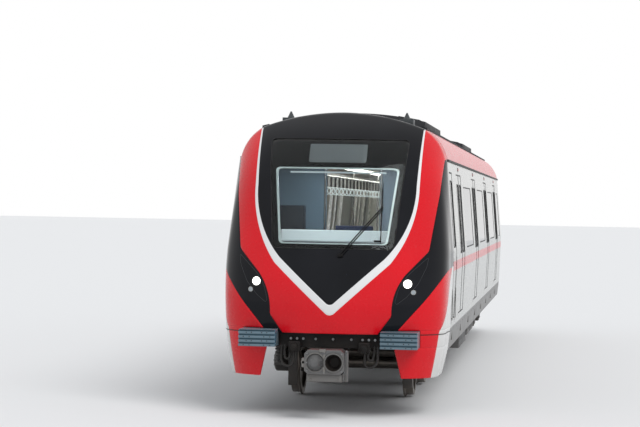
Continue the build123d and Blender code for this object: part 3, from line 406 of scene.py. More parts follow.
    def _gloss(self, paint: Paint) -> Socket:
        """Roughness with faint smears, in a narrow range round the middle one."""
        ends = [max(0.02, self.roughness + sign * (0.12 * self.roughness + 0.01)) for sign in (-1, 1)]
        return paint.ranged(paint.noise(self.grain * 0.12, 1.5, 5.0), MIDDLE, ends)

    def _relief(self, paint: Paint) -> Socket:
        """Bumps the surface with fine grain and the slow waviness of the sheet.

        Args:
            paint: the material.

        Returns:
            The normal.
        """
        fine = paint.bump(paint.noise(self.grain, 1.0, 4.0), self.bump, 0.002)
        if self.ripple <= 0.0:
            return fine
        return paint.bump(paint.noise(1.1, 1.6, 1.0), self.ripple, 0.02, Normal=fine)


@dataclass(frozen=True)
class Glass(Look):
    """Tinted glass that shows what is behind it, under a reflecting coat."""

    tint: Triple
    gloss: float
    roughness: float = 0.02

    def dress(self, paint: Paint) -> None:
        """Builds a glossy tinted pane whose smears come from noise.

        Args:
            paint: the material.
        """
        smear = paint.noise(3.0, 1.0, 6.0)
        base = np.array(linear(self.tint))
        paint.fill(paint.shader, {
            "Base Color": paint.mixed(smear, tuple(base), (*(base[:3] * 0.92), 1.0)),
            "Roughness": paint.ranged(smear, FULL, (self.roughness, self.roughness + 0.03)),
            "Transmission Weight": 1.0, "IOR": 1.1, "Coat Weight": self.gloss, "Coat Roughness": 0.02})


RED = (214, 0, 22)
SILVER = Finish("silver_side", "silver_paint", (182, 183, 180), 0.26, 0.45, Coat.GLOSS, 0.03, grain=90.0,
                bump=0.003, grime=0.3, grime_top=1.6, ripple=0.05, bands=(Band(RED, 1.71, 1.83),),
                seams=(Seam(-7.055, 4.58, 0.003), Seam(-5.155, 4.58, 0.003), Seam(-8.48, 40.0, 0.003)),
                shine=0.3, inside=(200, 200, 194))
WHITE_CORNER = Finish("white_corner", "silver_paint", (214, 214, 212), 0.22, 0.0, Coat.GLOSS, 0.03,
                      grime=0.3)
RED_PAINT = Finish("red_lacquer", "red_paint", RED, 0.26, 0.0, Coat.GLOSS, 0.05, grain=120.0, bump=0.006,
                   grime=0.12, ripple=0.02, shine=0.2)
BLACK_GLOSS = Finish("black_lacquer", "gloss_black", (12, 14, 20), 0.14, 0.0, Coat.GLOSS, 0.2, grain=120.0,
                     bump=0.0045, ripple=0.015, shine=0.05)
BORDER = Finish("white_border", "border_white", (226, 226, 226), 0.3, 0.0, Coat.SATIN, 0.02, grime=0.15)
FRIT = Finish("glass_frit", "gloss_black", (3, 4, 6), 0.5, variation=0.1, shine=0.03)
PANE = Glass("clear_pane", "clear_glass", (234, 241, 241), 0.22)
DARK_PANE = Glass("dark_pane", "dark_glass", (44, 50, 54), 0.2)
SILL = Finish("sill_paint", "sill_grey", (104, 104, 104), 0.45, 0.0, Coat.SATIN, 0.08, grime=0.5, bump=0.04)
ROOF = Finish("roof_paint", "roof_grey", (46, 48, 50), 0.75, variation=0.04, shine=0.3, bump=0.08)
CANTRAIL = Finish("cantrail_paint", "red_paint", (200, 14, 38), 0.3, 0.0, Coat.GLOSS, 0.04, ripple=0.03)
UNDER = Finish("underframe_paint", "underframe_black", (22, 22, 24), 0.65, variation=0.16, bump=0.12,
               grime=0.35, shine=0.2)
CASE = Finish("case_paint", "equipment_grey", (72, 75, 78), 0.55, variation=0.1, bump=0.05, grime=0.45,
              wear=0.35)
UNIT = Finish("unit_paint", "equipment_grey", (34, 35, 38), 0.6, variation=0.05, shine=0.3, bump=0.05)
CLIMBER = Finish("anticlimber_paint", "anticlimber_blue", (72, 108, 126), 0.42, 0.2, Coat.SATIN, 0.12,
                 grime=0.2, bump=0.08, wear=0.5, shine=0.3)
CAST = Finish("cast_metal", "cast_coupler", (98, 99, 100), 0.42, 0.7, variation=0.2, patch=9.0, grain=160.0,
              bump=0.28, grime=0.3, wear=0.5)
BOGIE = Finish("bogie_enamel", "bogie_paint", (48, 49, 51), 0.6, variation=0.14, patch=5.0, bump=0.14,
               grime=0.55, wear=0.3)
WHEEL = Finish("wheel_metal", "wheel_steel", (128, 122, 116), 0.38, 0.85, variation=0.2, patch=7.0,
               bump=0.08, grime=0.35)
RUBBER = Finish("bellows_cloth", "bellows_rubber", (30, 31, 33), 0.8, variation=0.15, bump=0.2, grain=200.0,
                grime=0.25)
LINING = Finish("lining_panel", "interior_panel", (206, 204, 196), 0.55, variation=0.03)
DESK = Finish("desk_moulding", "desk_shell", (58, 62, 68), 0.6, variation=0.08, bump=0.1, grain=220.0)
CLOTH = Finish("seat_cloth", "seat_cover", (40, 52, 84), 0.9, variation=0.2, bump=0.3, grain=320.0)
SHELL = Finish("bench_moulding", "bench_shell", (150, 34, 40), 0.42, 0.0, Coat.SATIN, 0.05)
POLE = Finish("pole_metal", "pole_steel", (196, 196, 194), 0.24, 1.0, variation=0.04)
LENS = Finish("lit_lens", "lamp_lens", (252, 252, 246), 0.15, glow=6.0, variation=0.02)
SCREEN = Finish("display_matrix", "display_panel", (92, 95, 98), 0.35, variation=0.08)
GROOVE = Finish("groove_shade", "wiper_black", (38, 40, 44), 0.4, variation=0.1, grime=0.1)
BOLT = Finish("zinc_bolt", "cast_coupler", (128, 130, 132), 0.42, 0.6, variation=0.15, patch=20.0,
              grime=0.25)
SPRING = Finish("spring_enamel", "bogie_paint", (44, 46, 48), 0.5, 0.0, Coat.SATIN, 0.12, bump=0.06,
                grime=0.45)
# Pale moulding with a painted glow, though the desk hood, blind rail and strap rings that wear it are no
# lamps.
PALE_GLOW = Finish("pale_moulding_painted_glow", "interior_panel", (218, 228, 232), 0.5, variation=0.03, glow=0.3)
# Pale frame inside the windscreen with a painted glow, though it is no lamp.
GLOWING_FRAME = Finish("pane_frame_painted_glow", "interior_panel", (196, 206, 206), 0.4, 0.2, variation=0.04, glow=0.08)
ANTENNA = Finish("antenna_cover", "wiper_black", (62, 66, 68), 0.5, variation=0.08, grime=0.1)
WIPER = Finish("wiper_enamel", "wiper_black", (9, 9, 10), 0.4, variation=0.1, bump=0.03, shine=0.2)
DIM_LENS = Finish("clear_lens", "lamp_lens", (150, 158, 164), 0.12, 0.4, Coat.GLOSS, 0.05)
CAB_WALL = Finish("cab_wall", "interior_panel", (118, 138, 152), 0.6, variation=0.08, patch=0.8)
FLOOR = Finish("floor_covering", "interior_panel", (112, 116, 122), 0.7, variation=0.12, grain=260.0)
CAB_LIGHT = Finish("cab_light", "lamp_lens", (226, 236, 246), 0.4, glow=14.0, variation=0.01)
SALOON_LIGHT = Finish("saloon_light", "lamp_lens", (255, 250, 240), 0.4, glow=7.0, variation=0.01)
RED_LAMP = Finish("red_lamp", "lamp_lens", (200, 24, 22), 0.2, 0.0, Coat.GLOSS, 0.05, glow=0.4)
SEAL = Finish("seal_rubber", "wiper_black", (16, 16, 17), 0.6, variation=0.15, bump=0.06, grime=0.2)


def spline(xs: Sequence[float], ys: Sequence[float]) -> Callable[[np.ndarray], np.ndarray]:
    """A natural cubic through given points.

    Args:
        xs: rising places.
        ys: value at each place.

    Returns:
        A function that gives the curve's value at any places.
    """
    x, y = np.array(xs, float), np.array(ys, float)
    h = np.diff(x)
    count = len(x)
    matrix, right = np.eye(count), np.zeros(count)
    for i in range(1, count - 1):
        matrix[i, i - 1:i + 2] = (h[i - 1], 2 * (h[i - 1] + h[i]), h[i])
        right[i] = 6 * ((y[i + 1] - y[i]) / h[i] - (y[i] - y[i - 1]) / h[i - 1])
    bend = np.linalg.solve(matrix, right)

    def value(at: np.ndarray) -> np.ndarray:
        """Gives the curve.

        Args:
            at: places.

        Returns:
            The value at each.
        """
        i = np.clip(np.searchsorted(x, at) - 1, 0, count - 2)
        a, b = x[i + 1] - at, at - x[i]
        return (bend[i] * a ** 3 + bend[i + 1] * b ** 3) / (6 * h[i]) + (
            y[i] / h[i] - bend[i] * h[i] / 6) * a + (y[i + 1] / h[i] - bend[i + 1] * h[i] / 6) * b

    return value


def arc(first: Sequence[float], middle: Sequence[float], last: Sequence[float], count: int) -> Curve:
    """Points on the arc through three points.

    Args:
        first: where it starts.
        middle: a point on it.
        last: where it ends.
        count: number of points.

    Returns:
        The points, first and last included.
    """
    a, b, c = (complex(*p) for p in (first, middle, last))
    w = (c - a) / (b - a)
    centre = (b - a) * (w - abs(w) ** 2) / (2j * w.imag) + a
    turns = np.unwrap(np.angle([a - centre, b - centre, c - centre]))
    spread = np.linspace(turns[0], turns[2], count)
    out = centre + abs(a - centre) * np.exp(1j * spread)
    return np.stack([out.real, out.imag], -1)


def respace(points: Curve, count: int) -> Curve:
    """Spreads points evenly along a polyline.

    Args:
        points: the polyline.
        count: how many points to give.

    Returns:
        Evenly spaced points on it.
    """
    steps = np.r_[0.0, np.cumsum(np.linalg.norm(np.diff(points, axis=0), axis=1))]
    at = np.linspace(0.0, steps[-1], count)
    return np.stack([np.interp(at, steps, points[:, k]) for k in range(points.shape[1])], -1)


def chain(parts: Sequence[tuple[Curve, int]]) -> Curve:
    """Joins curves end to end, each spread over its own count of points.

    Args:
        parts: curves with the number of steps that each takes.

    Returns:
        One curve whose corners are kept.
    """
    rows = [respace(np.array(curve, float), steps + 1)[:-1] for curve, steps in parts]
    rows.append(np.array(parts[-1][0], float)[-1:])
    return np.concatenate(rows)


@dataclass
class NoseForm:
    """The rounded nose as a measure that is negative inside, in millimetres.

    Attributes:
        rows: height, set-back of the centre line and half width at the corner's end.
        section: height and half width of the car's straight section.
        front_radius: radius of the front in plan.
        corner_radius: radius of each corner in plan.
        softness: how broadly the nose and the section melt together.
    """

    rows: tuple[Triple, ...] = (
        (400.0, 260.0, 1297.0), (1000.0, 200.0, 1384.0), (1600.0, 215.0, 1411.0), (2300.0, 450.0, 1386.0),
        (3000.0, 760.0, 1324.0), (3460.0, 1210.0, 1296.0), (3760.0, 1690.0, 1290.0),
    )
    section: tuple[tuple[float, float], ...] = (
        (-1000.0, 1280.0), (440.0, 1280.0), (730.0, 1345.0), (1000.0, 1375.0), (1750.0, 1400.0),
        (1950.0, 1400.0), (3110.0, 1300.0),
    )
    front_radius: float = 2300.0
    corner_radius: float = 700.0
    softness: float = 90.0
    outline: Curve = field(init=False)

    def __post_init__(self) -> None:
        """Prepares the curves through the rows and the section's outline."""
        heights = [row[0] for row in self.rows]
        self.set_back = spline(heights, [row[1] for row in self.rows])
        self.half = spline(heights, [row[2] for row in self.rows])
        side = np.array([(half, level) for level, half in self.section])
        shoulder = arc((1300.0, 3110.0), (1212.0, 3312.0), (1060.0, 3460.0), 12)[1:]
        crown = arc((1060.0, 3460.0), (0.0, 3675.0), (-1060.0, 3460.0), 61)[1:]
        self.outline = np.concatenate([side, shoulder, crown])
        self.rising = self.outline[:len(side) + len(shoulder) + 30]
        self.upper = self.rising[self.rising[:, 1] >= 1950.0]

    def width(self, level: np.ndarray) -> np.ndarray:
        """Half width of the straight section at a height."""
        return np.interp(level, self.rising[:, 1], self.rising[:, 0])

    def crown(self, x: np.ndarray) -> np.ndarray:
        """Height of the roof at a distance from the centre line."""
        return np.interp(-np.abs(x), -self.upper[:, 0], self.upper[:, 1])

    def measure(self, p: np.ndarray) -> np.ndarray:
        """How far points are outside the nose, roughly; negative inside.

        Args:
            p: points as x, set-back and height.

        Returns:
            The measure of each point.
        """
        x, s, z = np.abs(p[:, 0]), p[:, 1], p[:, 2]
        zc = np.clip(z, self.rows[0][0], self.rows[-1][0] - 1.0)
        tip, half = self.set_back(zc), self.half(zc)
        big, small = self.front_radius, self.corner_radius
        turn = np.arcsin((half - small) / (big - small))
        centre = tip + big
        corner_s = centre - (big - small) * np.cos(turn)
        front = np.hypot(x, s - centre) - big
        corner = np.hypot(x - half + small, s - corner_s) - small
        side = x - half
        angle = np.arctan2(x, centre - s)
        nose = np.where(angle < turn, front, np.where(s < corner_s, corner, side))
        rake = (self.set_back(zc + 1.0) - self.set_back(zc - 1.0)) / 2.0
        nose = nose / np.sqrt(1.0 + rake ** 2)
        a, b = self.outline[:-1], self.outline[1:]
        run = b - a
        q = np.stack([x, z], -1)[:, None, :] - a[None]
        share = np.clip((q * run).sum(-1) / (run ** 2).sum(-1), 0.0, 1.0)
        gap = np.sqrt(((q - share[..., None] * run) ** 2).sum(-1)).min(1)
        body = np.where((x < self.width(z)) & (z < self.crown(x)), -gap, gap)
        fade = np.clip((SEAM - 20.0 - s) / 420.0, 0.0, 1.0)
        k = self.softness * fade * fade * (3 - 2 * fade) + 1e-3
        near = np.maximum(k - np.abs(nose - body), 0.0) / k
        return np.maximum(nose, body) + near * near * k / 4.0

    def shoot(self, start: np.ndarray, run: np.ndarray, reach: float) -> np.ndarray:
        """Finds where lines leave the nose.

        Args:
            start: points inside.
            run: direction of each line.
            reach: how far, in lengths of run, the surface is at most.

        Returns:
            The points on the surface.
        """
        low, high = np.zeros(len(start)), np.full(len(start), reach)
        for _ in range(26):
            middle = (low + high) / 2
            inside = self.measure(start + middle[:, None] * run) < 0.0
            low, high = np.where(inside, middle, low), np.where(inside, high, middle)
        return start + ((low + high) / 2)[:, None] * run

    def front(self, xz: Curve) -> Curve:
        """Lays points seen from the front onto the nose.

        Args:
            xz: x and height of each.

        Returns:
            The points on the surface.
        """
        xz = np.atleast_2d(np.array(xz, float))
        start = np.stack([xz[:, 0], np.full(len(xz), SEAM + 900.0), xz[:, 1]], -1)
        inside = self.measure(start) < 0.0
        start[~inside, 0] *= 0.985
        return self.shoot(start, np.tile(AHEAD, (len(xz), 1)), 2700.0)

    def side(self, s: np.ndarray, z: np.ndarray) -> Curve:
        """Lays points seen from the side onto the +X flank."""
        start = np.stack([np.zeros(len(s)), np.array(s, float), np.array(z, float)], -1)
        return self.shoot(start, np.tile((1.0, 0.0, 0.0), (len(s), 1)), 1600.0)

    def project(self, p: np.ndarray, level: bool = False) -> np.ndarray:
        """Moves points out to the surface along lines from the nose's middle.

        Args:
            p: points near the surface.
            level: whether each keeps its own height.

        Returns:
            The points on the surface.
        """
        flat = p.reshape(-1, 3)
        top = flat[:, 2] if level else np.minimum(flat[:, 2], 2750.0)
        centre = np.stack([np.zeros(len(flat)), np.full(len(flat), 2300.0), top], -1)
        return self.shoot(centre, flat - centre, 2.2).reshape(p.shape)

    def normals(self, p: np.ndarray) -> np.ndarray:
        """Finds outward directions.

        Args:
            p: points on the surface.

        Returns:
            The direction at each.
        """
        flat = p.reshape(-1, 3)
        step = 3.0
        out = np.stack([self.measure(flat + d) - self.measure(flat - d) for d in np.eye(3) * step], -1)
        out /= np.linalg.norm(out, axis=-1, keepdims=True)
        return out.reshape(p.shape)

    def seam_line(self, start: Sequence[float], end: Sequence[float], count: int) -> Curve:
        """The section's outline at the cab seam between two of its points.

        Args:
            start: x and height where it starts.
            end: x and height where it ends.
            count: number of points.

        Returns:
            Points on the seam.
        """
        line = self.outline if start[0] >= 0 and end[0] >= 0 else np.concatenate(
            [self.rising, self.rising[::-1][1:] * (-1.0, 1.0)])
        near = [int(np.argmin(np.hypot(*(line - np.array(p)).T))) for p in (start, end)]
        low, high = sorted(near)
        inner = line[low + 1:high]
        if near[0] > near[1]:
            inner = inner[::-1]
        path = respace(np.concatenate([[start], inner, [end]]), count)
        return np.stack([path[:, 0], np.full(count, SEAM), path[:, 1]], -1)


def patch(form: NoseForm, left: Curve, right: Curve, first: Curve, last: Curve) -> np.ndarray:
    """A grid on the nose between four edges that already lie on it.

    Args:
        form: the nose.
        left: edge at v = 0, from u = 0 to u = 1.
        right: edge at v = 1.
        first: edge at u = 0, from left to right.
        last: edge at u = 1.

    Returns:
        An array of u rows by v columns of points.
    """
    u = np.linspace(0, 1, len(left))[:, None, None]
    v = np.linspace(0, 1, len(first))[None, :, None]
    grid = ((1 - v) * left[:, None] + v * right[:, None] + (1 - u) * first[None] + u * last[None]
            - (1 - u) * (1 - v) * left[0] - (1 - u) * v * right[0]
            - u * (1 - v) * left[-1] - u * v * right[-1])
    grid[1:-1, 1:-1] = form.project(grid[1:-1, 1:-1])
    grid[:, 0], grid[:, -1], grid[0], grid[-1] = left, right, first, last
    return grid


def shell(form: NoseForm, grid: np.ndarray, thickness: float, lift: float = 0.0, ring: bool = False,
          soften: float = 2.0) -> tuple[np.ndarray, np.ndarray]:
    """A closed skin with eased edges from a grid on the nose.

    Args:
        form: the nose.
        grid: u rows by v columns of points.
        thickness: skin thickness.
        lift: how far the outer face stands off the nose.
        ring: whether the last row joins the first.
        soften: how far the outline drops below the face.

    Returns:
        Vertices in metres and quads.
    """
    normal = form.normals(grid)
    both = _ease(np.concatenate([grid, normal], -1), soften)
    if not ring:
        both = _ease(both.swapaxes(0, 1), soften).swapaxes(0, 1)
    face, normal = both[..., :3], both[..., 3:]
    drop = np.zeros(face.shape[:2] + (1,))
    drop[:, [0, -1]] = soften
    if not ring:
        drop[[0, -1]] = soften
    outer = face + normal * (lift - drop)
    inner = face + normal * (lift - thickness)
    nu, nv = outer.shape[:2]
    top = np.arange(nu * nv).reshape(nu, nv)
    low = top + nu * nv
    if ring:
        top, low = (np.concatenate([index, index[:1]]) for index in (top, low))
    faces = [_quads(top), _quads(low)[:, ::-1]]
    for column in (0, -1):
        faces.append(_quads(np.stack([top[:, column], low[:, column]], -1)))
    if not ring:
        for row in (0, -1):
            faces.append(_quads(np.stack([top[row], low[row]], -1)))
    return metres(np.concatenate([outer.reshape(-1, 3), inner.reshape(-1, 3)])), np.concatenate(faces)


def _quads(index: np.ndarray) -> np.ndarray:
    """Quads between neighbouring rows and columns of vertex numbers."""
    return np.stack([index[:-1, :-1], index[1:, :-1], index[1:, 1:], index[:-1, 1:]], -1).reshape(-1, 4)


def _ease(grid: np.ndarray, size: float) -> np.ndarray:
    """Adds a column next to each outer one, where the face starts to round over.

    Args:
        grid: rows and columns of points with their normals.
        size: size of the rounding.

    Returns:
        The wider grid.
    """
    near = []
    for at, toward in ((0, 1), (-1, -2)):
        run = grid[:, toward] - grid[:, at]
        length = np.linalg.norm(run[..., :3], axis=-1, keepdims=True) + 1e-9
        near.append((grid[:, at] + run * np.minimum(0.5, 1.6 * size / length))[:, None])
    return np.concatenate([grid[:, :1], near[0], grid[:, 1:-1], near[1], grid[:, -1:]], 1)


@dataclass
class Workshop:
    """Turns arrays and the frame's CAD nodes into finished pieces, and keeps their names."""

    frame: dict
    made: list[str] = field(default_factory=list)

    def piece(self, name: str, data: bpy.types.Mesh, finish: Look, body: str = CAR,
              replaces: Sequence[str] = (), smooth: float = 32.0) -> None:
        """Makes a mesh into a finished piece.

        Args:
            name: piece name.
            data: its mesh.
            finish: its material.
            body: the CAD body that it rides on.
            replaces: CAD nodes that it stands for.
            smooth: angle in degrees under which edges shade smooth.
        """
        piece = placed(name, data)
        data.materials.clear()
        data.materials.append(finish.make())
        for polygon in data.polygons:
            polygon.use_smooth = True
            polygon.material_index = 0
        data.set_sharp_from_angle(angle=math.radians(smooth))
        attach(piece, body)
        if replaces:
            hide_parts(*replaces)
        self.made.append(name)

    def solids(self, name: str, finish: Look, parts: Sequence[Solid], body: str = CAR,
               replaces: Sequence[str] = (), smooth: float = 35.0) -> None:
        """Joins solids into one piece, with doubles merged and normals outwards.

        Args:
            name: piece name.
            finish: its material.
            parts: vertices and faces of each solid, in metres.
            body: the CAD body that it rides on.
            replaces: CAD nodes that it stands for.
            smooth: angle in degrees under which edges shade smooth.
        """
        vertices, faces = [], []
        for points, quads in parts:
            faces.extend([[int(i) + len(vertices) for i in quad] for quad in quads])
            vertices.extend(tuple(v) for v in np.asarray(points, float))
        data = bpy.data.meshes.new(name)
        data.from_pydata(vertices, [], faces)
        work = bmesh.new()
        work.from_mesh(data)
        bmesh.ops.remove_doubles(work, verts=work.verts, dist=0.00005)
        bmesh.ops.dissolve_degenerate(work, edges=work.edges, dist=0.00002)
        bmesh.ops.recalc_face_normals(work, faces=work.faces)
        work.to_mesh(data)
        work.free()
        self.piece(name, data, finish, body, replaces, smooth)

    def repaint(self, node: str, finish: Look) -> None:
        """Gives a CAD node that keeps its shape a finish.

        Args:
            node: the CAD node.
            finish: its material.
        """
        target = self.frame["nodes"][node]
        target.data.materials.clear()
        target.data.materials.append(finish.make())

    def eased(self, finish: Look, width: float, *nodes: str, body: str = CAR) -> None:
        """Stands for CAD nodes with copies whose edges are rounded.

        Args:
            finish: their material.
            width: size of the rounding in metres.
            nodes: the CAD nodes.
            body: the body that they ride on.
        """
        for node in nodes:
            data = self.frame["nodes"][node].data.copy()
            work = bmesh.new()
            work.from_mesh(data)
            bmesh.ops.remove_doubles(work, verts=work.verts, dist=0.00001)
            bmesh.ops.dissolve_limit(work, angle_limit=math.radians(0.4), verts=work.verts, edges=work.edges)
            work.to_mesh(data)
            work.free()
            if data.has_custom_normals:
                data.normals_split_custom_set([(0.0, 0.0, 0.0)] * len(data.loops))
            rough = placed(node + "_work", data)
            bevel = rough.modifiers.new("edge", "BEVEL")
            bevel.width, bevel.segments, bevel.limit_method = width, 2, "ANGLE"
            bevel.angle_limit = math.radians(38.0)
            bevel.use_clamp_overlap = True
            self.piece(node + "_eased", self.result(rough), finish, body, (node,))

    def result(self, rough: bpy.types.Object) -> bpy.types.Mesh:
        """Takes the mesh that an object's modifiers give and drops the object.

        Args:
            rough: the object.

        Returns:
            The mesh.
        """
        done = bpy.data.meshes.new_from_object(rough.evaluated_get(bpy.context.evaluated_depsgraph_get()))
        rough.modifiers.clear()
        bpy.data.objects.remove(rough)
        return done

    def boxes(self, node: str) -> list[np.ndarray]:
        """Boxes of a CAD node's separate solids.

        Args:
            node: the CAD node.

        Returns:
            The low and high corner of each solid, in metres.
        """
        data = self.frame["nodes"][node].data
        points = np.array([v.co[:] for v in data.vertices])
        unique, index = np.unique(np.round(points, 5), axis=0, return_inverse=True)
        corners = index.ravel()[np.array([p.vertices[:3] for p in data.polygons])]
        label, known = np.arange(len(unique)), None
        while known is None or (label != known).any():
            known = label.copy()
            low = label[corners].min(1)
            for column in range(3):
                np.minimum.at(label, corners[:, column], low)
            label = label[label]
        return [np.array([unique[label == k].min(0), unique[label == k].max(0)]) for k in np.unique(label)]


def block(low: Sequence[float], high: Sequence[float], cut: float = 0.003) -> Solid:
    """A box whose edges are cut at 45 degrees.

    Args:
        low: one corner in metres.
        high: the opposite corner.
        cut: size of the cut.

    Returns:
        Vertices and faces.
    """
    low, high = np.minimum(low, high), np.maximum(low, high)
    cut = min(cut, float((high - low).min()) * 0.45)
    signs = np.array([(i >> 2 & 1, i >> 1 & 1, i & 1) for i in range(8)])
    corner, inset = np.where(signs, high, low), np.where(signs, -cut, cut)
    points = (corner[:, None] + inset[:, None] * (1 - np.eye(3))[None]).reshape(-1, 3)
    faces, weight = [], (4, 2, 1)
    for axis in range(3):
        a, b = (k for k in range(3) if k != axis)
        for side in (0, weight[axis]):
            ring = (side, side + weight[a], side + weight[a] + weight[b], side + weight[b])
            faces.append([3 * c + axis for c in ring])
        for c in (0, weight[a], weight[b], weight[a] + weight[b]):
            d = c + weight[axis]
            faces.append([3 * c + a, 3 * d + a, 3 * d + b, 3 * c + b])
    faces += [[3 * c, 3 * c + 1, 3 * c + 2] for c in range(8)]
    return points, faces


def turned(profile: Sequence[tuple[float, float]], centre: Sequence[float], axis: Sequence[float],
           sides: int = 32) -> Solid:
    """A turned solid.

    Args:
        profile: radius and distance along the axis, from one pole to the other or closed.
        centre: where the distance is nought.
        axis: direction of the axis.
        sides: steps round it.

    Returns:
        Vertices and faces.
    """
    rows, along = np.array(profile, float), np.array(axis, float)
    across = np.cross(along, UP if abs(along[2]) < 0.9 else (1.0, 0.0, 0.0))
    across /= np.linalg.norm(across)
    turn = np.linspace(0.0, 2 * np.pi, sides, endpoint=False)[:, None]
    ring = np.cos(turn) * across + np.sin(turn) * np.cross(along, across)
    points = np.array(centre, float) + rows[:, 1, None, None] * along + rows[:, 0, None, None] * ring[None]
    index = np.arange(len(rows) * sides).reshape(len(rows), sides)
    index = np.concatenate([index, index[:, :1]], 1)
    return points.reshape(-1, 3), _quads(index).tolist()


def both_sides(points: Sequence[Sequence[float]]) -> np.ndarray:
    """Points on the +X side followed by their mirror images."""
    near = np.array(points, float)
    return np.concatenate([near, near * FLIP])


def mirrored(parts: Sequence[Solid]) -> list[Solid]:
    """Solids followed by their mirror images."""
    return [*parts, *((points * FLIP, faces) for points, faces in parts)]


class Pattern(Enum):
    """What a Geometry Nodes tree makes at or along its points."""

    HEADS = "heads"
    BARS = "bars"
    PIPES = "pipes"
    COILS = "coils"
    HOOPS = "hoops"
    FOLDS = "folds"


class Tree(Graph):
    """A Geometry Nodes tree with named inputs, ending in real meshes of one material."""

    def __init__(self, pattern: Pattern, **inputs: float) -> None:
        """Starts the tree.

        Args:
            pattern: what it makes.
            inputs: default of each named input.
        """
        super().__init__(bpy.data.node_groups.new(pattern.value, "GeometryNodeTree"))
        face = self.tree.interface
        face.new_socket("Geometry", in_out="INPUT", socket_type="NodeSocketGeometry")
        for label, value in inputs.items():
            kind = "NodeSocketInt" if isinstance(value, int) else "NodeSocketFloat"
            face.new_socket(label, in_out="INPUT", socket_type=kind).default_value = value
        face.new_socket("Material", in_out="INPUT", socket_type="NodeSocketMaterial")
        face.new_socket("Geometry", in_out="OUTPUT", socket_type="NodeSocketGeometry")
        self.given = self.tree.nodes.new("NodeGroupInput").outputs
        self.end = self.tree.nodes.new("NodeGroupOutput")

    def row(self, name: str) -> Socket:
        """A vector that each point carries."""
        return self.node("GeometryNodeInputNamedAttribute", {"Name": name}, data_type="FLOAT_VECTOR")

    def turn(self) -> Socket:
        """The turn that stands a part up along each point's aim."""
        return self.node("FunctionNodeAlignRotationToVector", {"Vector": self.row("aim")}, axis="Z")

    def real(self, geometry: Socket) -> Socket:
        """Copies made into real geometry."""
        return self.node("GeometryNodeRealizeInstances", {"Geometry": geometry})

    def rounded(self, curve: Socket, radius: Socket, **more: object) -> Socket:
        """A curve with bends at its corners."""
        return self.node("GeometryNodeFilletCurve", {"Curve": curve, "Count": 6, "Radius": radius, **more},
                         mode="POLY")

    def wire(self, curve: Socket, sides: int) -> Socket:
        """Runs a round tube along a curve and closes its ends.

        Args:
            curve: the curve.
            sides: steps round the tube.

        Returns:
            The tube.
        """
        size = {"Resolution": sides, "Radius": self.given["Wire"]}
        inputs = {"Curve": curve, "Profile Curve": self.node("GeometryNodeCurvePrimitiveCircle", size)}
        return self.node("GeometryNodeCurveToMesh", {**inputs, "Fill Caps": True})

    def place(self, part: Socket, **more: Socket) -> Socket:
        """Copies of a part on the given points."""
        inputs = {"Points": self.given["Geometry"], "Instance": part, **more}
        return self.node("GeometryNodeInstanceOnPoints", inputs)

    def close(self, geometry: Socket) -> bpy.types.NodeTree:
        """Ends the tree with real meshes and the material.

        Args:
            geometry: what it made.

        Returns:
            The tree.
        """
        given = {"Geometry": self.real(geometry), "Material": self.given["Material"]}
        self.fill(self.end, {0: self.node("GeometryNodeSetMaterial", given)})
        return self.tree


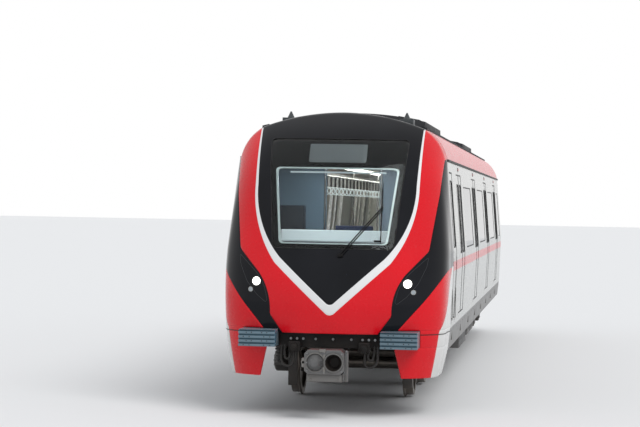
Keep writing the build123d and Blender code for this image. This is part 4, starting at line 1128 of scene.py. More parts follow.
@dataclass
class Repeater:
    """Makes pieces that repeat a part or follow a path, through Geometry Nodes built once each."""

    shop: Workshop
    trees: dict[Pattern, bpy.types.NodeTree] = field(default_factory=dict)

    def _heads(self) -> bpy.types.NodeTree:
        """Bolt heads that stand up along each point's aim.

        Returns:
            The tree.
        """
        tree = Tree(Pattern.HEADS, Radius=0.012, Height=0.008, Sides=6)
        radius = tree.given["Radius"]
        head = tree.node("GeometryNodeMeshCone", {
            "Vertices": tree.given["Sides"], "Radius Top": tree.maths("MULTIPLY", radius, 0.84),
            "Radius Bottom": radius, "Depth": tree.given["Height"]})
        return tree.close(tree.place(head, Rotation=tree.turn()))

    def _bars(self) -> bpy.types.NodeTree:
        """Bars of each point's size and turn.

        Returns:
            The tree.
        """
        tree = Tree(Pattern.BARS)
        cube = tree.node("GeometryNodeMeshCube", {"Size": (1.0, 1.0, 1.0)})
        turn = tree.node("FunctionNodeEulerToRotation", {0: tree.row("turn")})
        return tree.close(tree.place(cube, Rotation=turn, Scale=tree.row("size")))

    def _pipes(self) -> bpy.types.NodeTree:
        """Round pipes along the points' edges, with bends.

        Returns:
            The tree.
        """
        tree = Tree(Pattern.PIPES, Wire=0.01, Bend=0.04)
        line = tree.node("GeometryNodeMeshToCurve", {"Mesh": tree.given["Geometry"]})
        return tree.close(tree.wire(tree.rounded(line, tree.given["Bend"], **{"Limit Radius": True}), 10))

    def _coils(self) -> bpy.types.NodeTree:
        """Upright coil springs on the points.

        Returns:
            The tree.
        """
        tree = Tree(Pattern.COILS, Wire=0.01, Radius=0.07, Height=0.25, Turns=5.0)
        radius = tree.given["Radius"]
        spiral = tree.node("GeometryNodeCurveSpiral", {
            "Resolution": 22, "Rotations": tree.given["Turns"], "Start Radius": radius, "End Radius": radius,
            "Height": tree.given["Height"]})
        return tree.close(tree.place(tree.wire(spiral, 8)))

    def _hoops(self) -> bpy.types.NodeTree:
        """Wire rings of each point's size, square to its aim.

        Returns:
            The tree.
        """
        tree = Tree(Pattern.HOOPS, Wire=0.002)
        circle = tree.node("GeometryNodeCurvePrimitiveCircle", {"Resolution": 40, "Radius": 1.0})
        hoops = tree.place(circle, Rotation=tree.turn(), Scale=tree.row("size"))
        return tree.close(tree.wire(tree.real(hoops), 6))

    def _folds(self) -> bpy.types.NodeTree:
        """Rounded frames across the car, one at each point.

        Returns:
            The tree.
        """
        tree = Tree(Pattern.FOLDS, Wire=0.01, Width=1.7, Height=2.3, Corner=0.1)
        flat = tree.node("GeometryNodeCurvePrimitiveQuadrilateral",
                         {"Width": tree.given["Width"], "Height": tree.given["Height"]}, mode="RECTANGLE")
        bent = tree.rounded(flat, tree.given["Corner"])
        upright = tree.node("GeometryNodeTransform", {"Geometry": bent, "Rotation": (math.pi / 2, 0.0, 0.0)})
        return tree.close(tree.wire(tree.real(tree.place(upright)), 10))

    def make(self, pattern: Pattern, name: str, finish: Look, points: np.ndarray, body: str = CAR,
             values: Optional[dict[str, float]] = None, edges: Sequence[tuple[int, int]] = (),
             smooth: float = 40.0, **rows: np.ndarray) -> None:
        """Runs a tree on points and finishes the result.

        Args:
            pattern: which tree.
            name: piece name.
            finish: its material.
            points: places in metres.
            body: the CAD body that the piece rides on.
            values: the tree's named inputs.
            edges: pairs of points to follow.
            smooth: angle in degrees under which edges shade smooth.
            rows: vectors that each point carries.
        """
        if pattern not in self.trees:
            build = {Pattern.HEADS: self._heads, Pattern.BARS: self._bars, Pattern.PIPES: self._pipes,
                     Pattern.COILS: self._coils, Pattern.HOOPS: self._hoops, Pattern.FOLDS: self._folds}
            self.trees[pattern] = build[pattern]()
        tree = self.trees[pattern]
        points = np.asarray(points, float)
        data = bpy.data.meshes.new(name + "_points")
        data.from_pydata([tuple(p) for p in points], list(edges), [])
        for label, vectors in rows.items():
            layer = data.attributes.new(label, "FLOAT_VECTOR", "POINT")
            spread = np.broadcast_to(np.asarray(vectors, np.float32), points.shape)
            layer.data.foreach_set("vector", np.ascontiguousarray(spread).ravel())
        base = placed(name + "_points", data)
        modifier = base.modifiers.new("repeat", "NODES")
        modifier.node_group = tree
        sockets = {item.name: item.identifier for item in tree.interface.items_tree if item.in_out == "INPUT"}
        for label, value in {**(values or {}), "Material": finish.make()}.items():
            modifier[sockets[label]] = value
        self.shop.piece(name, self.shop.result(base), finish, body, smooth=smooth)

    def bolts(self, name: str, finish: Look, places: np.ndarray, aim: np.ndarray, radius: float,
              height: float, sides: int = 6, body: str = CAR) -> None:
        """Bolt heads on places, each along its aim."""
        values = {"Radius": radius, "Height": height, "Sides": sides}
        self.make(Pattern.HEADS, name, finish, places, body, values, aim=aim)

    def pipes(self, name: str, finish: Look, paths: Sequence[Sequence[Sequence[float]]], wire: float,
              bend: float = 0.04, body: str = CAR, closed: bool = False) -> None:
        """Pipes along several paths.

        Args:
            name: piece name.
            finish: its material.
            paths: points of each path in metres.
            wire: radius of the pipes.
            bend: radius of their bends.
            body: the CAD body that they ride on.
            closed: whether each path joins its start.
        """
        edges, start = [], 0
        for path in paths:
            last = len(path) - 1
            edges += [(start + k, start + k + 1) for k in range(last)]
            if closed:
                edges.append((start + last, start))
            start += last + 1
        points = np.concatenate([np.asarray(path, float) for path in paths])
        self.make(Pattern.PIPES, name, finish, points, body, {"Wire": wire, "Bend": bend}, edges, smooth=60.0)


def scaled(loop: Curve, share: float) -> Curve:
    """A loop scaled about its middle."""
    return loop.mean(0) + (loop - loop.mean(0)) * share


def loop_of(low: float, high: float, low_half: float, high_half: float, corner: float,
            steps: tuple[int, int] = (40, 40)) -> Curve:
    """A rounded trapezium seen from the front, from its top left corner clockwise.

    Args:
        low: height of the lower edge.
        high: height of the upper edge.
        low_half: half width at the lower edge.
        high_half: half width at the upper edge.
        corner: corner radius.
        steps: steps on the flat edges and on the upright ones.

    Returns:
        An open list of points; the last joins the first.
    """
    corners = np.array([(-high_half, high), (high_half, high), (low_half, low), (-low_half, low)], float)
    sides = []
    for i in range(4):
        before, here, after = corners[i - 1], corners[i], corners[(i + 1) % 4]
        last = corners[(i + 2) % 4]
        run = (after - here) / np.linalg.norm(after - here)
        back = (before - here) / np.linalg.norm(before - here)
        ahead = (last - after) / np.linalg.norm(last - after)
        cut = corner * 1.02
        first_arc = arc(here + back * cut, here + (back + run) * cut * 0.3, here + run * cut, 9)[4:]
        last_arc = arc(after - run * cut, after + (ahead - run) * cut * 0.3, after + ahead * cut, 9)[:5]
        count = steps[i % 2] - 8
        line = np.linspace(first_arc[-1], last_arc[0], count + 1)[1:-1]
        sides.append(np.concatenate([first_arc, line, last_arc[:-1]]))
    return np.concatenate(sides)


@dataclass
class Builder:
    """What every sub-assembly works with: the car's form, the workshop and the maker of repeats."""

    form: NoseForm
    shop: Workshop
    rows: Repeater

    def roof(self, x: np.ndarray) -> np.ndarray:
        """Height of the roof in metres at a distance from the centre line."""
        return (self.form.crown(np.asarray(x) * 1000.0) + RAIL) / 1000.0

    def side(self, y: np.ndarray, z: np.ndarray, lift: float, sign: float = 1.0) -> np.ndarray:
        """Points off the side wall.

        Args:
            y: lengths in metres.
            z: heights in metres.
            lift: distance off the wall in metres.
            sign: 1 for the +X side and -1 for the other.

        Returns:
            The points.
        """
        level = np.asarray(z, float) * 1000.0 - RAIL
        slope = (self.form.width(level + 6.0) - self.form.width(level - 6.0)) / 12.0
        long = np.sqrt(1.0 + slope ** 2)
        x = self.form.width(level) / 1000.0 + lift / long
        return np.stack([sign * x, np.asarray(y, float), np.asarray(z, float) - slope * lift / long], -1)

    def gasket(self, box: np.ndarray, grow: float, inner: float, corner: float, lift: float,
               depth: float) -> Solid:
        """A closed band round an opening in the side wall.

        Args:
            box: low and high corner of what it surrounds.
            grow: how far its outer edge lies outside that box.
            inner: how far its inner edge lies inside.
            corner: corner radius.
            lift: its face's distance off the wall.
            depth: its thickness.

        Returns:
            Vertices and faces.
        """
        sign = 1.0 if box[0][0] > 0 else -1.0
        y, z = (box[0][1:] + box[1][1:]) / 2
        half = (box[1][1:] - box[0][1:]) / 2
        loops = []
        for reach in (grow, -inner):
            a, b = half + reach
            radius = min(max(corner + reach, 0.004), a, b)
            turn = np.linspace(0.0, np.pi / 2, 6)
            line = []
            for k, (su, sv) in enumerate(((1, 1), (-1, 1), (-1, -1), (1, -1))):
                angle = turn + k * np.pi / 2
                line.append(np.stack([su * (a - radius) + radius * np.cos(angle),
                                      sv * (b - radius) + radius * np.sin(angle)], -1))
            loop = np.concatenate(line)
            ends = np.roll(loop, -1, 0)
            if not loops:
                steps = np.maximum(1, (np.abs(ends - loop)[:, 1] / 0.1).astype(int))
            runs = [np.linspace(p, q, n + 1)[:-1] for p, q, n in zip(loop, ends, steps)]
            loops.append(np.concatenate(runs))
        rings = [self.side(y + loop[:, 0], z + loop[:, 1], off, sign)
                 for loop, off in ((loops[0], lift), (loops[1], lift), (loops[1], lift - depth),
                                   (loops[0], lift - depth))]
        index = np.arange(4 * len(rings[0])).reshape(4, -1)
        index = np.concatenate([index, index[:1]])
        index = np.concatenate([index, index[:, :1]], 1)
        return np.concatenate(rings), _quads(index).tolist()


@dataclass
class NoseSkins(Builder):
    """The nose's panels, glass and lamps, laid on the rounded form.

    Attributes:
        skin: panel thickness in millimetres.
        shield: half width and height of the white border's outer edge.
        mask: half width and height of the black mask's edge.
        pane: low, high, half width low and half width high of the windscreen.
        clear: the same for its clear opening.
        pillar: front edge of the black flank at the windscreen pillar.
        lamp_edge: front edge of the flank below it.
        toe: the flank's foot.
        low_edge: edge between the flank and the red corner.
        climber: inner and outer x and low and high of the anti-climber's opening.
        lamps: x, height and radius of each lamp on one side.
        gutter: x and height where the pillar meets the cab seam.
        shelf: outer x of the edge over the anti-climber.
        skirt: low and high of the skirt, and its front edge there.
        bands: low, high and steps of the height bands that the corners are made in.
        display: low, high and half widths of the destination display.
    """

    skin: float = 26.0
    shield: tuple = ((1028.5, 3470.0), (1010.0, 2750.0), (925.0, 2230.0), (700.0, 1810.0), (55.0, 1215.0),
                     (0.0, 1192.0))
    mask: tuple = ((1008.0, 3474.0), (974.0, 2750.0), (878.0, 2250.0), (632.0, 1870.0), (48.0, 1338.0),
                   (0.0, 1318.0))
    pane: tuple = (1985.0, 3330.0, 735.0, 860.0)
    clear: tuple = (2045.0, 2985.0, 667.0, 771.0)
    pillar: tuple = ((1281.0, 3111.0), (1245.0, 2650.0), (1150.0, 1970.0), (890.0, 1690.0))
    lamp_edge: tuple = ((890.0, 1690.0), (790.0, 1520.0), (733.0, 1190.0))
    toe: tuple = ((733.0, 1190.0), (575.0, 972.0))
    low_edge: tuple = ((1020.0, 1260.0), (1215.0, 1500.0), (1398.0, 1778.0))
    climber: tuple = (621.0, 1074.0, 809.0, 1021.0)
    lamps: tuple = ((915.0, 1580.0, 60.0), (985.0, 1480.0, 32.0))
    gutter: tuple = (1300.0, 3110.0)
    shelf: float = 812.0
    skirt: tuple = ((440.0, 970.0), (860.0, 735.0))
    bands: tuple = ((441.0, 808.5, 12), (809.0, 966.5, 7), (970.0, 1020.5, 4), (1021.0, 1777.0, 48))
    display: tuple = (3040.0, 3270.0, 355.0, 355.0)

    def build(self) -> None:
        """Builds every skin and dresses it."""
        for skin in (self.mask_skin, self.border_skin, self.red_panel, self.black_flanks, self.corners,
                     self.windscreen, self.headlamps):
            skin()

    def _skins(self, name: str, finish: Look, parts: Sequence[Solid], *nodes: str) -> None:
        """Finishes skins as one piece that stands for CAD nodes."""
        self.shop.solids(name, finish, parts, replaces=nodes, smooth=50.0)

    def _edge(self, outline: tuple) -> Curve:
        """A shield outline on the nose's +X side, from the roof's seam to the tip.

        Args:
            outline: its top, shoulder, bend and tip.

        Returns:
            Points on the nose.
        """
        top, shoulder, bend, straight, low, tip = outline
        crown = self.form.crown(np.array([top[0]]))[0]
        upright = np.linspace((top[0], crown - 2.0), shoulder, 40)
        rounding = arc(low, tip, (-low[0], low[1]), 13)[:7]
        flat = chain([(upright, 44), (arc(shoulder, bend, straight, 30), 26),
                      (np.linspace(straight, low, 40), 36), (rounding, 8)])
        points = self.form.front(flat)
        points[0] = (top[0], SEAM, crown)
        return points

    def _both(self, outline: tuple) -> Curve:
        """A whole shield outline, from the +X seam round the tip to the -X seam."""
        right = self._edge(outline)
        return np.concatenate([right, right[::-1][1:] * FLIP])

    def _loop(self, box: tuple, corner: float, top: int, side: int, bottom: int) -> Curve:
        """A rounded trapezium seen from the front, clockwise from its top left.

        Args:
            box: low, high, half width low and half width high.
            corner: corner radius.
            top: steps along the upper edge.
            side: steps along each side.
            bottom: steps along the lower edge.

        Returns:
            An open list of points.
        """
        loop = loop_of(*box, corner, (48, 48))
        closed = np.concatenate([loop, loop[:1]])
        starts = np.arange(5) * (len(loop) // 4)
        starts[-1] = len(loop)
        counts = zip((top, side, bottom, side), starts, starts[1:])
        return np.concatenate([respace(closed[a:b + 1], count + 1)[:-1] for count, a, b in counts])

    def mask_skin(self) -> None:
        """The black mask from the pane's edge to the white border and back over the roof."""
        outer, half_top = self._both(self.mask), self.mask[0][0]
        drop, across = 70, 40
        top = self.form.seam_line((-half_top, outer[-1][2]), (half_top, outer[0][2]), across + 1)
        ring = np.concatenate([top[:-1], outer[:-1]])
        pane = self.form.front(self._loop(self.pane, 60.0, across, drop, len(ring) - across - 2 * drop))
        share = np.linspace(0.0, 1.0, 22)[None, :, None] ** 1.15
        grid = pane[:, None] * (1 - share) + ring[:, None] * share
        grid[:, 1:-1] = self.form.project(grid[:, 1:-1])
        self._skins("mask_skin", BLACK_GLOSS, [shell(self.form, grid, self.skin, ring=True)], "front_mask")

    def border_skin(self) -> None:
        """The white border round the mask."""
        inner, outer = self._both(self.mask), self._both(self.shield)
        first = self.form.seam_line(inner[0][::2], outer[0][::2], 7)
        grid = patch(self.form, inner, outer, first, first * FLIP)
        self._skins("border_skin", BORDER, [shell(self.form, grid, self.skin)], "mask_border")

    def _flank_front(self) -> Curve:
        """The flank's front edge, from its top to its toe.

        Returns:
            Points on the nose.
        """
        bend = arc(*self.lamp_edge, 24)
        return self.form.front(chain([(np.array(self.pillar), 70), (bend, 30), (np.array(self.toe), 14)]))

    def red_panel(self) -> None:
        """The red pillars and the front below the mask, one half mirrored."""
        form, (x, level), foot_level = self.form, self.gutter, self.toe[1][1]
        inner = self._edge(self.shield)
        foot = form.front(np.linspace(self.toe[1], (0.0, foot_level), 40))
        outer = form.project(chain([(self._flank_front(), 84), (foot, 30)]))
        outer[0] = (x, SEAM, level)
        first = form.seam_line(inner[0][::2], self.gutter, 25)
        last = form.front(np.linspace(self.shield[-1], (0.0, foot_level), 25))
        grid = patch(form, inner, outer, first, last)
        grid = np.concatenate([grid, grid[-2::-1] * FLIP])
        self._skins("red_panel", RED_PAINT, [shell(form, grid, self.skin)], "nose_panel", "pillar_panels")

    def black_flanks(self) -> None:
        """The gloss black flanks from the pillar to the cab seam and down to the lamps."""
        form, foot_level = self.form, self.toe[1][1]
        left = self._flank_front()
        left[0] = (self.gutter[0], SEAM, self.gutter[1])
        seam = form.seam_line(self.gutter, (1398.9, self.low_edge[-1][1]), 60)
        bend = form.front(arc(*self.low_edge[::-1], 30))
        bend[0] = seam[-1]
        inner_x, _, _, level = self.climber
        foot = form.front([self.low_edge[0], (self.shelf, level)])
        shelf = form.front(np.linspace((self.shelf, level), (inner_x, level), 12))
        right = chain([(seam, 56), (bend, 34), (foot, 14), (shelf, 10)])
        corner = (inner_x, foot_level)
        lower, upper = np.array([self.toe[1], corner]), np.array([corner, (inner_x, level)])
        last = form.front(chain([(lower, 12), (upper, 12)]))
        right[-1] = last[-1]
        grid = patch(form, left, right, np.tile(left[:1], (25, 1)), last)
        self._skins("flank_skins", BLACK_GLOSS, mirrored([shell(form, grid, self.skin)]), "flanks")

    def _white_line(self, level: np.ndarray) -> np.ndarray:
        """Set-back of the line between the red corner and the white side."""
        return np.where(level > 1000.0, 700.0 + (level - 1000.0) * 720.0 / 790.0, 700.0)

    def _inner_x(self, level: float) -> float:
        """Front edge of the corner and skirt.

        Args:
            level: height.

        Returns:
            Its distance from the centre line.
        """
        _, outer_x, low, high = self.climber
        if level >= high:
            curve = np.concatenate([[(self.shelf, high), self.low_edge[0]], arc(*self.low_edge, 40)[1:]])
            return float(np.interp(level, curve[:, 1], curve[:, 0]))
        if level >= low:
            return outer_x
        return float(np.interp(level, *self.skirt))

    def _band(self, levels: Curve, white: bool, columns: int) -> Optional[np.ndarray]:
        """One height band of the red corner or of the white side behind it.

        Args:
            levels: its heights.
            white: whether it is the white side.
            columns: how many points it has across.

        Returns:
            A grid of points, or None where the band has no width.
        """
        form = self.form
        inner = form.front([(self._inner_x(z), z) for z in levels])
        middle = form.side(np.maximum(inner[:, 1], self._white_line(levels)), levels)
        middle[:, 2] = levels
        seam = np.stack([form.width(levels), np.full(len(levels), SEAM), levels], -1)
        left, right = (middle, seam) if white else (inner, middle)
        keep = right[:, 1] - left[:, 1] > 4.0
        if keep.sum() < 2:
            return None
        left, right = left[keep], right[keep]
        share = np.linspace(0.0, 1.0, columns)[None, :, None]
        grid = left[:, None] * (1 - share) + right[:, None] * share
        grid[:, 1:-1] = form.project(grid[:, 1:-1], True)
        return grid

    def corners(self) -> None:
        """Red corners and skirts with the white side behind them."""
        bands = [np.linspace(*ends) for ends in self.bands]
        for name, node, finish, white in (("corner_skins", "corner_panels", RED_PAINT, False),
                                          ("corner_side_skins", "corner_sides", WHITE_CORNER, True)):
            grids = [self._band(levels, white, 18) for levels in bands]
            parts = [shell(self.form, grid, self.skin, soften=1.2) for grid in grids if grid is not None]
            self._skins(name, finish, mirrored(parts), node)

    def _disc(self, loop: Curve, rings: int, lift: float, thickness: float) -> Solid:
        """A closed skin inside a loop seen from the front.

        Args:
            loop: the loop.
            rings: how many rings of points it has.
            lift: how far its face stands off the nose.
            thickness: its thickness.

        Returns:
            Vertices and faces.
        """
        soften = 1.5
        grid = self._between(loop, loop.mean(0), np.linspace(0.0, 0.97, rings))
        both = _ease(np.concatenate([grid, self.form.normals(grid)], -1), soften)[:, :-2]
        points, normal = both[..., :3], both[..., 3:]
        drop = np.zeros(points.shape[:2] + (1,))
        drop[:, 0] = soften
        outer, inner = points + normal * (lift - drop), points + normal * (lift - thickness)
        count, columns = outer.shape[:2]
        top = np.arange(count * columns).reshape(count, columns)
        low = top + count * columns
        wrap = [np.concatenate([index, index[:1]]) for index in (top, low)]
        wall = np.stack([wrap[0][:, 0], wrap[1][:, 0]], -1)
        faces = [list(quad) for index in (*wrap, wall) for quad in _quads(index)] + [top[:, -1], low[:, -1]]
        return metres(np.concatenate([outer.reshape(-1, 3), inner.reshape(-1, 3)])), faces

    def _between(self, first: Curve, last: Curve, share: np.ndarray) -> np.ndarray:
        """A grid on the nose between two loops seen from the front, by shares of the second."""
        flat = first[:, None] + (last - first)[:, None] * share[None, :, None]
        return self.form.front(flat.reshape(-1, 2)).reshape(len(first), len(share), 3)

    def windscreen(self) -> None:
        """The pane, the dark frit under its rim, the pale frame inside it with a painted glow, and the
        display.
        """
        pane, clear = self._loop(self.pane, 58.0, 36, 36, 36), self._loop(self.clear, 45.0, 36, 36, 36)
        pane = scaled(pane, 0.9975)
        self._skins("windscreen_pane", PANE, [self._disc(pane, 16, 0.0, 12.0)], "windscreen")
        self._skins("windscreen_frit", FRIT, [self._ring(clear, pane, 8, -14.0, 9.0, 1.0)])
        frame = self._ring(scaled(clear, 0.965), scaled(clear, 1.01), 5, -24.0, 14.0, 1.0)
        self._skins("windscreen_frame", GLOWING_FRAME, [frame])
        display = self._loop(self.display, 12.0, 24, 12, 24)
        self._skins("display_face", SCREEN, [self._disc(display, 6, -12.5, 1.2)], "destination_display")

    def _ring(self, inner: Curve, outer: Curve, columns: int, lift: float, thickness: float,
              soften: float) -> Solid:
        """A closed band between two loops seen from the front."""
        grid = self._between(inner, outer, np.linspace(0.0, 1.0, columns))
        return shell(self.form, grid, thickness, lift=lift, ring=True, soften=soften)

    def headlamps(self) -> None:
        """Lens, bright core and rim of each lamp, flush with the flank."""
        rims, lenses, dim, cups = [], [], [], []
        turn = np.linspace(0.0, 2 * np.pi, 49)[:-1]
        for x, level, radius in self.lamps:
            loop = np.stack([x + radius * np.cos(turn), level + radius * np.sin(turn)], -1)
            (lenses if radius > 50.0 else dim).append(self._disc(scaled(loop, 0.78), 8, 4.0, 6.0))
            cups.append(self._ring(scaled(loop, 0.78), scaled(loop, 0.92), 5, 2.5, 8.0, 1.5))
            rims.append(self._ring(scaled(loop, 0.92), scaled(loop, 1.06), 5, 5.0, 8.0, 1.5))
        self._skins("lamp_lenses", LENS, mirrored(lenses), "headlamps")
        for name, parts, finish in (("small_lenses", dim, DIM_LENS), ("lamp_reflectors", cups, POLE),
                                    ("lamp_rims", rims, SEAL)):
            self._skins(name, finish, mirrored(parts))


@dataclass
class Side(Builder):
    """Doors, windows and fittings along the body's sides.

    Attributes:
        lamp_level: height of the red lamps over the doors.
        half_step: half length of the threshold plates.
        rail_low: foot of the cab door's handrail.
        rail_high: its head.
    """

    lamp_level: float = 3.045
    half_step: float = 0.64
    rail_low: float = 1.12
    rail_high: float = 1.52

    def build(self) -> None:
        """Seals, gaskets, lamps, rails, steps and sill fittings."""
        leaves, panes = self.shop.boxes("door_leaves"), self.shop.boxes("side_glass")
        seals = [self.gasket(leaf, 0.0015, 0.013, 0.02, -0.0012, 0.012) for leaf in leaves]
        self.shop.solids("door_seals", SEAL, seals)
        self.shop.solids("window_gaskets", SEAL, [
            self.gasket(pane, 0.0, 0.016, 0.085 if np.ptp(pane[:, 1]) > 0.6 else 0.055, -0.0008, 0.008)
            for pane in panes])
        for side in ("left", "right"):
            glass, door = self.shop.boxes("cab_glass_" + side)[0], self.shop.boxes("cab_door_" + side)[0]
            body = side + "_cab_door"
            gasket = self.gasket(glass, 0.0, 0.018, 0.05, -0.0008, 0.008)
            self.shop.solids("cab_gasket_" + side, SEAL, [gasket], body)
            seal = self.gasket(door, -0.002, 0.012, 0.02, -0.0012, 0.01)
            self.shop.solids("cab_door_seal_" + side, SEAL, [seal], body)
            sign, y = math.copysign(1.0, door[0][0]), door[1][1] - 0.09
            plate = self.gasket(self.window(sign, y, 0.035, 1.82, 1.98), 0.0, 0.033, 0.02, -0.002, 0.006)
            self.shop.solids("cab_lock_" + side, POLE, [plate], body)
        self.doorways(leaves)
        self.handrails()
        self.sills()

    def window(self, sign: float, y: float, half: float, low: float, high: float) -> np.ndarray:
        """The low and high corner of a place on a side, from its middle, half length and heights."""
        return np.array([(sign * 1.3, y - half, low), (sign * 1.3, y + half, high)])

    def doorways(self, leaves: list[np.ndarray]) -> None:
        """Lamps over the doors, thresholds and emergency release covers.

        Args:
            leaves: boxes of the door leaves, two to a doorway.
        """
        lamps, cups, steps, covers = [], [], [], []
        for leaf in leaves[::2]:
            sign = 1.0 if leaf[0][0] > 0 else -1.0
            y = leaf[1][1] + 0.001
            place = self.side(np.array([y]), np.array([self.lamp_level]), 0.0, sign)[0]
            out = (sign * 0.996, 0.0, 0.086)
            lamps.append(turned(((0.0, 0.011), (0.014, 0.009), (0.02, 0.004), (0.02, 0.0)), place, out, 20))
            rim = ((0.021, 0.0), (0.021, 0.006), (0.028, 0.006), (0.03, 0.0), (0.021, 0.0))
            cups.append(turned(rim, place, out, 20))
            steps.append(block((sign * 1.30, y - self.half_step, 1.104),
                               (sign * 1.381, y + self.half_step, 1.1268), 0.002))
            cover = self.window(sign, y + 0.78, 0.06, 1.55, 1.72)
            covers.append(self.gasket(cover, 0.0, 0.004, 0.012, 0.0002, 0.006))
        self.shop.solids("door_lamps", RED_LAMP, lamps)
        self.shop.solids("door_lamp_rims", SEAL, cups)
        self.shop.solids("door_steps", POLE, steps)
        self.shop.solids("release_covers", SEAL, covers)

    def handrails(self) -> None:
        """Handrails beside the cab doors, on dark strips of painted shade that stand in for their recesses.
        """
        rails, recess_shades = [], []
        for sign in (-1.0, 1.0):
            for y in (-8.435, -7.68):
                wall, out, low, high = 1.36, 1.3935, self.rail_low, self.rail_high
                bends = ((wall, low), (out, low), (out, high), (wall, high))
                rails.append([(sign * x, y, z) for x, z in bends])
                # Each dark strip is painted shade, standing in for the recess behind the rail.
                recess_shade = self.window(sign, y, 0.03, self.rail_low - 0.05, 1.9)
                recess_shades.append(self.gasket(recess_shade, 0.0, 0.0285, 0.012, 0.0002, 0.004))
        self.shop.solids("handrail_recess_shades", SEAL, recess_shades)
        self.rows.pipes("cab_handrails", POLE, rails, 0.0058, 0.018)

    def sills(self) -> None:
        """Small covers and bolts along the sills."""
        places = [(sign * 1.3605, y, 0.9) for sign in (-1.0, 1.0) for y in np.arange(-7.9, 10.0, 2.29)]
        heads = [(sign * 1.3675, y, 0.985) for sign in (-1.0, 1.0) for y in np.arange(-8.2, 10.2, 0.575)]
        aims = [(math.copysign(1.0, x), 0.0, -0.1) for x, _, _ in heads]
        self.rows.make(Pattern.BARS, "sill_covers", CASE, places, size=(0.012, 0.16, 0.1), turn=LEVEL)
        self.rows.bolts("sill_bolts", SEAL, heads, aims, 0.009, 0.004, 8)


